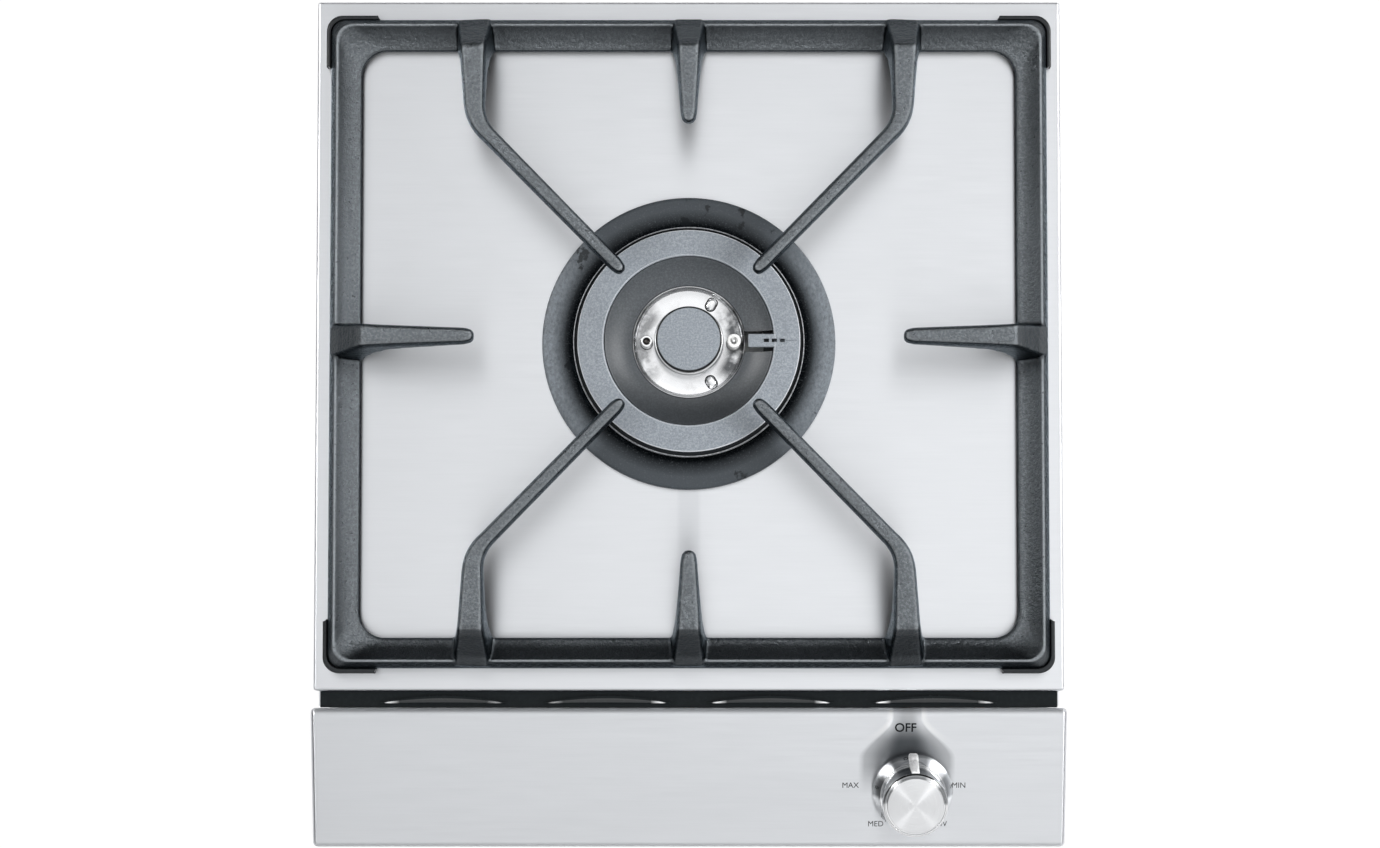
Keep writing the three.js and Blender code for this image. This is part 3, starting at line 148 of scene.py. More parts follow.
def add_world():
    """A white studio. The camera sees plain white. Light and reflections come from a wide ceiling that is
    brightest a little behind the zenith, dark far behind it, and dimmer to the front and to the sides."""
    world = bpy.data.worlds.new("studio")
    bpy.context.scene.world = world
    world.use_nodes = True
    nodes, links = world.node_tree.nodes, world.node_tree.links
    nodes.clear()
    out = nodes.new("ShaderNodeOutputWorld")
    path = nodes.new("ShaderNodeLightPath")
    coords = nodes.new("ShaderNodeTexCoord")
    split = nodes.new("ShaderNodeSeparateXYZ")
    links.new(coords.outputs["Generated"], split.inputs[0])

    def profile(axis, stops, tint=(1, 1, 1)):
        """Brightness along an axis, from (direction's component along it, level) stops."""
        shifted = nodes.new("ShaderNodeMapRange")
        shifted.inputs["From Min"].default_value = -1
        links.new(split.outputs[axis], shifted.inputs["Value"])
        ramp = nodes.new("ShaderNodeValToRGB")
        fill_ramp(ramp, [((component + 1) / 2, [level * c for c in tint]) for component, level in stops])
        links.new(shifted.outputs[0], ramp.inputs[0])
        return ramp.outputs[0]

    level = profile("Y", (
        (-1, 0.25), (-0.92, 0.5), (-0.8, 0.85), (-0.6, 1.0), (-0.35, 1.0), (-0.1, 0.9),
        (0.08, 1.05), (0.24, 1.33), (0.36, 1.33), (0.5, 0.95), (0.62, 0.45), (0.74, 0.05),
    ), (0.985, 0.993, 1))
    width = profile("X", (
        (-0.85, 0.15), (-0.45, 0.55), (-0.2, 0.95), (0.0, 1.02),
        (0.15, 1.1), (0.3, 1.05), (0.5, 0.95), (0.9, 0.75),
    ))
    height = profile("Z", ((0, 0.1), (0.35, 1.0)))
    for other in (width, height):
        both = nodes.new("ShaderNodeVectorMath")
        both.operation = "MULTIPLY"
        links.new(level, both.inputs[0])
        links.new(other, both.inputs[1])
        level = both.outputs[0]
    mirrored, soft, seen = (nodes.new("ShaderNodeBackground") for _ in range(3))
    links.new(level, mirrored.inputs["Color"])
    links.new(level, soft.inputs["Color"])
    soft.inputs["Strength"].default_value = 0.22
    seen.inputs["Color"].default_value = (1, 1, 1, 1)
    either = nodes.new("ShaderNodeMath")
    either.operation = "MAXIMUM"
    links.new(path.outputs["Is Glossy Ray"], either.inputs[0])
    links.new(path.outputs["Is Transmission Ray"], either.inputs[1])
    unseen = mixed(world.node_tree, either.outputs[0], soft.outputs[0], mirrored.outputs[0])
    surface = mixed(world.node_tree, path.outputs["Is Camera Ray"], unseen, seen.outputs[0])
    links.new(surface, out.inputs["Surface"])


# ---------------- materials
class Shader:
    """The Principled shader of a material, and the few node helpers that the materials share."""

    def __init__(self, material):
        self.material = material
        self.nodes, self.links = material.node_tree.nodes, material.node_tree.links
        self.base = self.nodes["Principled BSDF"]
        self.coords = self.nodes.new("ShaderNodeTexCoord")
        self.height = None

    @classmethod
    def made(cls, name, color, roughness, metallic=0.0, **plain):
        """The shader of a new material. Other keywords name sockets, with _ for each space."""
        material = bpy.data.materials.new(name)
        material.use_nodes = True
        shader = cls(material)
        shader.base.inputs["Base Color"].default_value = (*color, 1)
        shader.base.inputs["Roughness"].default_value = roughness
        shader.base.inputs["Metallic"].default_value = metallic
        for socket, value in plain.items():
            shader.base.inputs[socket.replace("_", " ")].default_value = value
        return shader

    def mapped(self, scale, centre=(0, 0, 0), coords="Object"):
        """Coordinates counted from centre and scaled."""
        mapping = self.nodes.new("ShaderNodeMapping")
        mapping.inputs["Location"].default_value = [-c * s for c, s in zip(centre, scale)]
        mapping.inputs["Scale"].default_value = scale
        self.links.new(self.coords.outputs[coords], mapping.inputs[0])
        return mapping.outputs[0]

    def noise(self, scale, detail=2.0, roughness=0.5, centre=(0, 0, 0), coords="Object"):
        """Noise whose cells are about 1/scale across. The scale is a number, or one for each axis."""
        scale = (scale,) * 3 if isinstance(scale, (int, float)) else scale
        noise = self.nodes.new("ShaderNodeTexNoise")
        noise.inputs["Scale"].default_value = 1
        noise.inputs["Detail"].default_value = detail
        noise.inputs["Roughness"].default_value = roughness
        self.links.new(self.mapped(scale, centre, coords), noise.inputs["Vector"])
        return noise.outputs["Fac"]

    def spread(self, value, low, high, out_low=0.0, out_high=1.0, curve="LINEAR"):
        """Carries the range from low to high over to the range from out_low to out_high, and stops there."""
        span = self.nodes.new("ShaderNodeMapRange")
        span.interpolation_type = curve
        sockets = ("From Min", "From Max", "To Min", "To Max")
        for socket, number in zip(sockets, (low, high, out_low, out_high)):
            span.inputs[socket].default_value = number
        self.links.new(value, span.inputs["Value"])
        return span.outputs[0]

    def math(self, operation, a, b):
        node = self.nodes.new("ShaderNodeMath")
        node.operation = operation
        for socket, value in zip(node.inputs, (a, b)):
            if isinstance(value, (int, float)):
                socket.default_value = value
            else:
                self.links.new(value, socket)
        return node.outputs[0]

    def product(self, first, *others):
        for other in others:
            first = self.math("MULTIPLY", first, other)
        return first

    def blend(self, share, color):
        """Mixes color over the base colour by share."""
        mix = self.nodes.new("ShaderNodeMix")
        mix.data_type = "RGBA"
        self.links.new(share, mix.inputs[0])
        base = self.base.inputs["Base Color"]
        if base.is_linked:
            self.links.new(base.links[0].from_socket, mix.inputs[6])
        else:
            mix.inputs[6].default_value = base.default_value
        mix.inputs[7].default_value = (*color, 1)
        self.links.new(mix.outputs[2], base)

    def soot_and_painted_shade(self, share):
        """Paints near-black that mirrors next to nothing, by share. The enamels use it as painted shade."""
        self.blend(share, (0.003, 0.004, 0.005))
        self.links.new(share, self.base.inputs["Metallic"])

    def rough(self, noise, smoothest, roughest):
        self.links.new(self.spread(noise, 0.3, 0.7, smoothest, roughest), self.base.inputs["Roughness"])

    def bump(self, value, strength, distance):
        """Adds fine relief over any that is there."""
        bump = self.nodes.new("ShaderNodeBump")
        bump.inputs["Strength"].default_value = strength
        bump.inputs["Distance"].default_value = distance
        self.links.new(value, bump.inputs["Height"])
        if self.height:
            self.links.new(self.height, bump.inputs["Normal"])
        self.height = bump.outputs[0]
        self.links.new(self.height, self.base.inputs["Normal"])

    def axes(self, vector):
        split = self.nodes.new("ShaderNodeSeparateXYZ")
        self.links.new(vector, split.inputs[0])
        return split.outputs

    def offset(self, centre):
        """How far the surface lies from centre along X, Y and Z."""
        return self.axes(self.mapped((1, 1, 1), centre))

    def radius(self, centre):
        """Distance from the vertical axis through centre, and the share of it that lies along X."""
        across, along, _ = self.offset(centre)
        squares = self.math("ADD", self.product(across, across), self.product(along, along))
        radius = self.math("SQRT", squares, 0)
        return radius, self.math("DIVIDE", across, self.math("MAXIMUM", radius, 0.0001))


def brushed(name, color, roughness, along, anisotropic=0.75):
    """Steel brushed along an axis. Fine scratches run along it, so reflections smear across it."""
    fine = tuple(30 if axis == along else 1500 for axis in "xyz")
    coarse = tuple(9 if axis == along else 260 for axis in "xyz")
    shader = Shader.made(name, color, roughness, 1.0, Anisotropic=anisotropic)
    scratches = shader.noise(fine, 3, 0.65)
    bands = shader.noise(coarse, 2)
    shader.blend(shader.spread(scratches, 0.35, 0.75, 0, 0.12), [c * 0.85 for c in color])
    shader.blend(shader.spread(bands, 0.45, 0.8, 0, 0.12), [min(c * 1.05, 1) for c in color])
    shader.rough(scratches, roughness - 0.02, roughness + 0.03)
    shader.bump(scratches, 0.03, 0.00002)
    across = shader.nodes.new("ShaderNodeCombineXYZ")
    across.inputs["Y" if along == "x" else "Z"].default_value = 1
    shader.links.new(across.outputs[0], shader.base.inputs["Tangent"])
    return shader.material


def painted_knob_reflection(material):
    """Paints the knob's dark reflection into the slope behind it, and painted highlights beside its neck."""
    smear_shift = 0.0028
    shader = Shader(material)
    across, behind, _ = shader.offset(CONTROL.translation - Vector((smear_shift, 0, 0)))
    half_width = shader.spread(behind, 0.016, 0.037, 0.0215, 0.0068, "SMOOTHSTEP")
    share = shader.math("DIVIDE", shader.math("ABSOLUTE", across, 0), half_width)
    painted_dark_reflection = shader.product(
        shader.spread(share, 0.2, 1.15, 1, 0.4, "SMOOTHSTEP"),
        shader.spread(share, 1.0, 1.15, 1, 0),
        shader.spread(behind, 0.024, 0.038, 0.95, 0.4, "SMOOTHSTEP"),
        shader.spread(behind, -0.002, 0.012),
    )
    # Painted highlights beside the knob's neck.
    gleam = shader.product(
        shader.spread(share, 1.0, 1.15),
        shader.spread(share, 1.25, 1.55, 1, 0),
        shader.spread(behind, 0.024, 0.032, 0, 0.8),
    )
    shader.blend(painted_dark_reflection, (0.06, 0.068, 0.076))
    shader.blend(gleam, (0.98, 0.985, 0.99))
    return material


def painted_finger_reflection(material):
    """A faint painted reflection of the front finger in the brushed plate, between its tip and the burner."""
    shader = Shader(material)
    across, behind, _ = shader.offset(BURNER.translation)
    smear = shader.product(
        shader.spread(shader.math("ABSOLUTE", across, 0), 0.0042, 0.0065, 0.2, 0),
        shader.spread(behind, -0.06, -0.07),
        shader.spread(behind, -0.10, -0.125, 1, 0),
    )
    shader.blend(smear, (0.55, 0.57, 0.60))
    return material


def cast_enamel():
    """Satin enamel over sand-cast iron, with fine grain and small pits. Edges are paler, part thin enamel and
    part painted highlight. Steep faces, and those turned to the back and left, are painted shade."""
    bluish = (0.86, 0.94, 1, 1)
    shader = Shader.made("cast_enamel", (0.006, 0.007, 0.008), 0.3, IOR=2.22, Specular_Tint=bluish)
    grain = shader.noise(1500, 3, 0.7)
    lumps = shader.noise(420, 3, 0.6)
    mottle = shader.noise(780, 2, 0.7)
    geometry = shader.nodes.new("ShaderNodeNewGeometry")
    right, back, up = shader.axes(geometry.outputs["Normal"])
    rubbed = shader.product(shader.spread(mottle, 0.47, 0.60, 0, 0.8), shader.spread(up, 0.6, 0.9, 0.25, 1))
    shader.blend(rubbed, (0.08, 0.087, 0.094))
    # Paler edges: partly thin enamel, partly a painted highlight along the edges.
    edges = shader.spread(geometry.outputs["Pointiness"], 0.515, 0.55, 0, 0.5)
    shader.blend(edges, (0.36, 0.38, 0.40))
    # Painted shade: steep faces, and faces turned to the back and left, go near-black.
    steep = shader.spread(up, 0.45, 0.70, 1, 0)
    away = shader.math("SUBTRACT", back, shader.product(right, 0.55))
    shader.soot_and_painted_shade(shader.math("MAXIMUM", steep, shader.spread(away, 0.2, 0.65, 0, 0.72)))
    shader.rough(lumps, 0.26, 0.40)
    shader.bump(lumps, 0.9, 0.0008)
    shader.bump(grain, 0.8, 0.0004)
    return shader.material


def base_enamel():
    """The base ring's enamel: painted shade by the crown, scuffs made paler still to the left and right as
    painted side light, and dark spots left by spills.
    """
    centre = BURNER.translation
    shader = Shader.made("base_enamel", (0.050, 0.058, 0.066), 0.4, Specular_IOR_Level=0.35)
    grain = shader.noise(1300, 3, 0.6)
    scuffs = shader.noise((620, 420, 500), 5, 0.75, centre)
    spots = shader.noise(80, 4, 0.6, centre)
    radius, sideways = shader.radius(centre)
    # Painted shadow of the cap: near-black next to the crown.
    shader.soot_and_painted_shade(shader.spread(radius, 0.0605, 0.0685, 1, 0))
    # Paler scuffs, kept to the left and right: part wear, part painted side light.
    wear_and_painted_light = shader.product(
        shader.spread(shader.math("ABSOLUTE", sideways, 0), 0.62, 0.95),
        shader.spread(scuffs, 0.34, 0.62, 0.35, 1),
        shader.spread(radius, 0.0625, 0.070, 0, 0.85),
    )
    shader.blend(wear_and_painted_light, (0.25, 0.28, 0.31))
    shader.blend(shader.spread(grain, 0.55, 0.8, 0, 0.35), (0.16, 0.175, 0.19))
    shader.blend(shader.spread(spots, 0.62, 0.66, 0, 0.9), (0.008, 0.010, 0.012))
    shader.rough(scuffs, 0.34, 0.56)
    shader.bump(scuffs, 0.35, 0.0005)
    shader.bump(grain, 0.3, 0.0002)
    return shader.material


def crown_metal():
    """The outer crown: dark metal, with a bright thin line at its lip that is partly bare turned metal and
    partly a painted highlight.
    """
    shader = Shader.made("crown_metal", (0.022, 0.025, 0.028), 0.45, 0.4)
    radius, _ = shader.radius(BURNER.translation)
    soot_and_painted_shade = shader.noise(700, 3, 0.6)
    # Bright lip line: partly bare turned metal, partly a painted highlight.
    lip = shader.product(shader.spread(radius, 0.05785, 0.05815), shader.spread(soot_and_painted_shade, 0.3, 0.65, 0.2, 0.7))
    shader.blend(lip, (0.70, 0.72, 0.75))
    shader.rough(soot_and_painted_shade, 0.35, 0.55)
    shader.bump(soot_and_painted_shade, 0.2, 0.0002)
    return shader.material


def fine_enamel(name, color, pale, roughness, painted_lines=()):
    """Smooth speckled enamel. The painted lines are painted highlights and painted shade along edges, each a
    thin ring of (radius, half width, share, colour).
    """
    shader = Shader.made(name, color, roughness, IOR=1.6)
    grain = shader.noise(1000, 3, 0.8)
    cloud = shader.noise(60, 3)
    shader.blend(shader.spread(grain, 0.48, 0.62, 0, 0.9), pale)
    shader.blend(shader.spread(grain, 0.36, 0.48, 0.5, 0), [c * 0.6 for c in color])
    shader.blend(shader.spread(cloud, 0.4, 0.8, 0, 0.25), [c * 0.8 for c in color])
    radius, _ = shader.radius(BURNER.translation)
    # Painted highlights and painted shade, as thin rings along edges.
    for rim, half, share, tint in painted_lines:
        off = shader.math("ABSOLUTE", shader.math("SUBTRACT", radius, rim), 0)
        shader.blend(shader.spread(off, half * 0.6, half, share, 0), tint)
    shader.rough(grain, roughness - 0.06, roughness + 0.08)
    shader.bump(grain, 0.3, 0.00012)
    return shader.material


def painted_shade_in_front(material, color):
    """Blends a colour in towards the front of the burner, as painted shade."""
    shader = Shader(material)
    _, behind, _ = shader.offset(BURNER.translation)
    shader.blend(shader.spread(behind, -0.012, -0.036, 0, 0.5), color)
    return material


def steel_with_painted_reflection():
    """The bowl's pressed steel, painted dark to the left and right as a painted reflection, broken up by
    noise, with a faint smoky tone.
    """
    centre = BURNER.translation
    shader = Shader.made("steel_with_painted_reflection", (0.88, 0.885, 0.895), 0.2, 1.0)
    radius, sideways = shader.radius(centre)
    smoke = shader.noise(150, 3, 0.55, centre)
    right = shader.spread(sideways, 0.62, 0.82)
    left = shader.spread(sideways, -0.62, -0.82, 0, 0.76)
    # Painted dark reflection beside the electrode and opposite it.
    painted_side_reflection = shader.product(
        shader.math("MAXIMUM", right, left),
        shader.spread(radius, 0.0175, 0.022),
        shader.spread(smoke, 0.34, 0.56, 0.3, 1),
        0.95,
    )
    shader.blend(painted_side_reflection, (0.06, 0.065, 0.07))
    shader.blend(shader.spread(smoke, 0.55, 0.8, 0, 0.2), (0.6, 0.58, 0.57))
    shader.rough(smoke, 0.16, 0.26)
    shader.bump(smoke, 0.08, 0.0003)
    return shader.material


def turned_metal(name, color, roughness, anisotropic):
    """Metal with the fine rings that turning leaves, along the mesh's UVs. Its gleam runs across them."""
    shader = Shader.made(name, color, roughness, 1.0, Anisotropic=anisotropic)
    tangent = shader.nodes.new("ShaderNodeTangent")
    tangent.direction_type = "UV_MAP"
    shader.links.new(tangent.outputs[0], shader.base.inputs["Tangent"])
    shader.base.inputs["Anisotropic Rotation"].default_value = 0.25
    rings = shader.noise((6, 2600, 1), coords="UV")
    shader.blend(shader.spread(rings, 0.4, 0.8, 0, 0.3), [c * 0.85 for c in color])
    shader.rough(rings, roughness - 0.03, roughness + 0.05)
    shader.bump(rings, 0.08, 0.00003)
    return shader.material


def painted_dark_sectors(material, sectors):
    """Paints dark reflections into sectors round the axis, from (turn, level) stops. Turns are counted from
    the right.
    """
    shader = Shader(material)
    ramp = shader.nodes.new("ShaderNodeValToRGB")
    fill_ramp(ramp, [(turn, [level] * 3) for turn, level in sectors])
    turn, *_ = shader.axes(shader.coords.outputs["UV"])
    shader.links.new(turn, ramp.inputs[0])
    shader.blend(ramp.outputs[0], (0.16, 0.17, 0.18))
    return material


def plain_metal(name, color, roughness):
    shader = Shader.made(name, color, roughness, 1.0)
    cloud = shader.noise(500, 3)
    shader.blend(shader.spread(cloud, 0.4, 0.75, 0, 0.3), [c * 0.75 for c in color])
    shader.rough(cloud, roughness - 0.05, roughness + 0.1)
    shader.bump(cloud, 0.1, 0.0001)
    return shader.material


def moulded(name, color, roughness, grain=1400, depth=0.0001, gloss=0.5):
    """Rubber, plastic, ceramic, paint or ink with a fine grain."""
    shader = Shader.made(name, color, roughness, Specular_IOR_Level=gloss)
    texture = shader.noise(grain, 2)
    shader.blend(shader.spread(texture, 0.45, 0.8, 0, 0.35), [c * 1.6 + 0.01 for c in color])
    shader.rough(texture, roughness - 0.08, roughness + 0.08)
    shader.bump(texture, 0.25, depth)
    return shader.material


# ---------------- mesh helpers
def rounded(points, steps=4):
    """A closed 2-D outline from (x, y, reach) points. Each corner is rounded over its reach."""
    out = []
    for i, (x, y, reach) in enumerate(points):
        corner = Vector((x, y))
        if reach == 0:
            out.append(corner)
            continue
        before = Vector(points[i - 1][:2]) - corner
        after = Vector(points[(i + 1) % len(points)][:2]) - corner
        before *= min(reach, before.length * 0.48) / before.length
        after *= min(reach, after.length * 0.48) / after.length
        for k in range(steps + 1):
            t = k / steps
            out.append(corner + before * (1 - t) ** 2 + after * t * t)
    return out


def finished(name, mesh, body, material, smooth_angle=40):
    """A visible piece that rides on a body, smooth but for edges sharper than smooth_angle in degrees."""
    bm = bmesh.new()
    bm.from_mesh(mesh)
    bmesh.ops.recalc_face_normals(bm, faces=bm.faces)
    bm.to_mesh(mesh)
    bm.free()
    mesh.polygons.foreach_set("use_smooth", [True] * len(mesh.polygons))
    mesh.set_sharp_from_angle(angle=math.radians(smooth_angle))
    mesh.materials.clear()
    mesh.materials.append(material)
    obj = placed(name, mesh)
    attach(obj, body)
    return obj


def mesh_of(name, verts, faces, place):
    """A mesh from points in millimetres in the frame of place."""
    mesh = bpy.data.meshes.new(name)
    mesh.from_pydata([place @ (Vector(v) * MM) for v in verts], [], faces)
    return mesh


def lathe(name, profile, place, body, material, segments=160, smooth_angle=40):
    """A solid of revolution from (radius, height, corner's reach) points. Its UVs run round the axis and
    along the profile."""
    points = rounded(profile)
    verts, rings = [], []
    for r, z in points:
        rings.append(len(verts))
        if r == 0:
            verts.append((0, 0, z))
            continue
        for k in range(segments):
            angle = 2 * math.pi * k / segments
            verts.append((r * math.cos(angle), r * math.sin(angle), z))
    run = [0.0]
    for a, b in zip(points, points[1:] + points[:1]):
        run.append(run[-1] + (b - a).length * MM)
    faces, uvs = [], []
    for i in range(len(points)):
        j = (i + 1) % len(points)
        a, b = points[i][0] > 0, points[j][0] > 0
        for k in range(segments):
            n = (k + 1) % segments
            u0, u1 = k / segments, (k + 1) / segments
            if a and b:
                faces.append((rings[i] + k, rings[i] + n, rings[j] + n, rings[j] + k))
                uvs.append([(u0, run[i]), (u1, run[i]), (u1, run[i + 1]), (u0, run[i + 1])])
            elif a:
                faces.append((rings[i] + k, rings[i] + n, rings[j]))
                uvs.append([(u0, run[i]), (u1, run[i]), ((u0 + u1) / 2, run[i + 1])])
            elif b:
                faces.append((rings[i], rings[j] + n, rings[j] + k))
                uvs.append([((u0 + u1) / 2, run[i]), (u1, run[i + 1]), (u0, run[i + 1])])
    mesh = mesh_of(name, verts, faces, place)
    layer = mesh.uv_layers.new(name="UVMap")
    flat = [pair for face in uvs for pair in face]
    for loop, pair in zip(layer.data, flat):
        loop.uv = pair
    return finished(name, mesh, body, material, smooth_angle)


def block(x0, x1, y0, y1, z0, z1, place):
    """A plain closed box mesh, as a cutting tool or to start from."""
    verts = [(x, y, z) for z in (z0, z1) for y in (y0, y1) for x in (x0, x1)]
    faces = [(0, 2, 3, 1), (4, 5, 7, 6), (0, 1, 5, 4), (2, 6, 7, 3), (0, 4, 6, 2), (1, 3, 7, 5)]
    return mesh_of("block", verts, faces, place)


def skinned(name, rows, place, closed=False):
    """A mesh over rows of points, each a closed ring. The last row meets the first, or both ends are
    capped."""
    count = len(rows[0])
    faces = []
    for j in range(len(rows) if closed else len(rows) - 1):
        n = (j + 1) % len(rows)
        for i in range(count):
            k = (i + 1) % count
            faces.append((j * count + i, j * count + k, n * count + k, n * count + i))
    if not closed:
        faces.append(tuple(range(count - 1, -1, -1)))
        faces.append(tuple((len(rows) - 1) * count + i for i in range(count)))
    return mesh_of(name, [point for row in rows for point in row], faces, place)


def drum(radius, x, low, high, place, sides=32):
    """A plain closed cylinder mesh round a line parallel to Z, as a cutting tool."""
    turns = [2 * math.pi * k / sides for k in range(sides)]
    rows = [[(x + radius * math.cos(a), radius * math.sin(a), z) for a in turns] for z in (low, high)]
    return skinned("drum", rows, place)


def rib(low, high, inner, place):
    """A rib with sloping flanks on the +Y side of an axis, from (height, half width, reach of its crest)
    at each end."""
    rows = []
    for z, half, reach in (low, high):
        eaves, crest = reach - half * 0.35, half * 0.6
        right = [(half, inner, z), (half, eaves, z), (crest, reach, z)]
        rows.append([(-half, inner, z), *right, (-crest, reach, z), (-half, eaves, z)])
    return skinned("rib", rows, place)


def applied(obj):
    """The object's mesh with its modifiers applied. The object is removed."""
    graph = bpy.context.evaluated_depsgraph_get()
    mesh = bpy.data.meshes.new_from_object(obj.evaluated_get(graph))
    bpy.data.objects.remove(obj)
    return mesh


def carved(mesh, tools, operation="DIFFERENCE"):
    """The mesh with each tool cut out of it, or joined to it."""
    for tool in tools:
        obj, other = placed("carved", mesh), placed("tool", tool)
        change = obj.modifiers.new("carve", "BOOLEAN")
        change.operation = operation
        change.solver = "EXACT"
        change.object = other
        mesh = applied(obj)
        bpy.data.objects.remove(other)
    return mesh


def bevelled(mesh, width, segments=3):
    obj = placed("bevelled", mesh)
    change = obj.modifiers.new("bevel", "BEVEL")
    change.width = width * MM
    change.segments = segments
    change.limit_method = "ANGLE"
    change.angle_limit = math.radians(30)
    return applied(obj)


# ---------------- pan support
# Half sizes of the frame, a bar's width, the heights of its underside and ridge, and the corners' radii.
GRID_X, GRID_Y = 364.5 / 2, 330.5 / 2
BAR, BAR_FOOT, RIDGE = 15.5, 2.5, 15
OUTER_CORNER, INNER_CORNER = 7, 13
FINGER_TOP = 40


def corner_loop(half_x, half_y, radius, z, steps=12):
    """The points of a rounded rectangle."""
    points = []
    for corner, (sx, sy) in enumerate(((1, 1), (-1, 1), (-1, -1), (1, -1))):
        for k in range(steps + 1):
            angle = (corner + k / steps) * math.pi / 2
            x = sx * (half_x - radius) + radius * math.cos(angle)
            y = sy * (half_y - radius) + radius * math.sin(angle)
            points.append((x, y, z))
    return points


def bar_profile(steps=8):
    """A bar's section, from (inset from the outer face, height): a narrow ridge and a long hollow slope."""
    start, end, foot = 4, BAR - 0.9, BAR_FOOT + 3.5
    profile = [(0, BAR_FOOT), (0, RIDGE - 6.5), (0.8, RIDGE - 4.5), (3.2, RIDGE), (start, RIDGE)]
    for i in range(1, steps + 1):
        share = i / steps
        profile.append((start + (end - start) * share, foot + (RIDGE - foot) * (1 - share) ** 1.6))
    return profile + [(BAR, foot - 1.2), (BAR, BAR_FOOT)]


def grid_frame():
    rows = []
    for inset, z in bar_profile():
        radius = OUTER_CORNER + (INNER_CORNER - OUTER_CORNER) * inset / BAR
        rows.append(corner_loop(GRID_X - inset, GRID_Y - inset, radius, z))
    return skinned("grid_frame", rows, BURNER, closed=True)


def path_points(corners, bend, steps=14):
    """A line whose inner corners are rounded off over the length bend."""
    points = [Vector(corners[0])]
    for before, corner, after in zip(corners, corners[1:], corners[2:]):
        corner = Vector(corner)
        start = corner + (Vector(before) - corner).normalized() * bend
        end = corner + (Vector(after) - corner).normalized() * bend
        for k in range(steps + 1):
            t = k / steps
            points.append(start * (1 - t) ** 2 + corner * 2 * t * (1 - t) + end * t * t)
    return points + [Vector(corners[-1])]


def along_path(points, distance):
    """The point at a distance along a line, and the line's direction there."""
    for a, b in zip(points, points[1:]):
        length = (b - a).length
        if distance <= length or b is points[-1]:
            return a + (b - a) * (distance / length), (b - a).normalized()
        distance -= length


def sampled(stations, spacing=2.5):
    """The stations, whose first number is a distance, with steps of about spacing filled in between them."""
    out = []
    for a, b in zip(stations, stations[1:]):
        count = max(2, int((b[0] - a[0]) / spacing))
        out += [[p + (q - p) * k / count for p, q in zip(a, b)] for k in range(count)]
    return [*out, stations[-1]]


def finger_mesh(corners, bend, stations, mirror, quarter=False):
    """A finger of the pan support from (distance, top, underside, half width above, half width below)."""
    points = path_points(corners, bend)
    chamfer, draft, flank = 0.8, 1.1, 4.5
    rows = []
    for distance, top, under, half_top, half_under in sampled(stations):
        point, along = along_path(points, distance)
        side = Vector((-along.y, along.x))
        shoulder = half_top - draft
        row = []
        for offset, z in (
            (-half_under, under), (half_under, under),
            (half_top, top - flank), (shoulder, top - chamfer), (shoulder - chamfer, top),
            (chamfer - shoulder, top), (-shoulder, top - chamfer), (-half_top, top - flank),
        ):
            x, y = point + side * offset
            if quarter:
                x, y = y, -x
            row.append((x * mirror[0], y * mirror[1], z))
        rows.append(row)
    return skinned("finger", rows, BURNER)


def root_stations(half):
    """The first stations of a finger, where it rises from the frame."""
    return [
        (0.8, RIDGE - 1, BAR_FOOT, half + 2.2, half + 2.2),
        (5.5, RIDGE + 5, BAR_FOOT, half + 1.9, half + 3),
        (10, RIDGE + 12, BAR_FOOT, half + 1.3, half + 3),
        (BAR, FINGER_TOP - 4.5, BAR_FOOT + 1, half + 0.5, half + 3),
        (BAR + 3, FINGER_TOP - 0.6, BAR_FOOT + 7, half + 0.1, half + 2),
        (BAR + 4.5, FINGER_TOP, BAR_FOOT + 10, half, half + 1.6),
        (BAR + 8, FINGER_TOP, BAR_FOOT + 16, half - 0.2, half + 0.8),
        (BAR + 17, FINGER_TOP, FINGER_TOP - 13, half - 0.6, half - 0.2),
    ]


def tip_stations(length, *widths):
    """The last stations of a finger, from its half widths above and below at each."""
    steps = ((5, 0, 9.5), (1.5, 0.2, 8.9), (0, 1.6, 7.5))
    return [
        (length - back, FINGER_TOP - drop, FINGER_TOP - depth, *width)
        for (back, drop, depth), width in zip(steps, widths)
    ]


def short_finger(root, mirror, quarter):
    tip = 107.5
    length = root - tip
    stations = [*root_stations(6.1), *tip_stations(length, (4.2, 3.8), (3.4, 3), (1.8, 1.4))]
    return finger_mesh([(0, root), (0, tip)], 0, stations, mirror, quarter)


def long_finger(mirror):
    bend_y, bend = 108.5, 9
    corners = [(109, GRID_Y), (107.5, bend_y), (33, 32.3)]
    points = path_points(corners, bend)
    length = sum((b - a).length for a, b in zip(points, points[1:]))
    bend_at = GRID_Y - bend_y
    return finger_mesh(corners, bend, [
        *root_stations(6.7),
        (bend_at - 9, FINGER_TOP, FINGER_TOP - 12, 5.4, 5.2),
        (bend_at - 3, FINGER_TOP, FINGER_TOP - 11.5, 5, 4.8),
        (bend_at + 3, FINGER_TOP, FINGER_TOP - 11, 4.5, 4.3),
        (bend_at + 9, FINGER_TOP, FINGER_TOP - 11, 4, 3.8),
        *tip_stations(length, (3.7, 3.4), (3, 2.7), (1.6, 1.3)),
    ], mirror)


def merged(meshes):
    """One mesh of several solids, each with its faces turned outwards."""
    bm = bmesh.new()
    for mesh in meshes:
        part = bmesh.new()
        part.from_mesh(mesh)
        bmesh.ops.recalc_face_normals(part, faces=part.faces)
        part.to_mesh(mesh)
        part.free()
        bm.from_mesh(mesh)
    whole = bpy.data.meshes.new("merged")
    bm.to_mesh(whole)
    bm.free()
    return whole


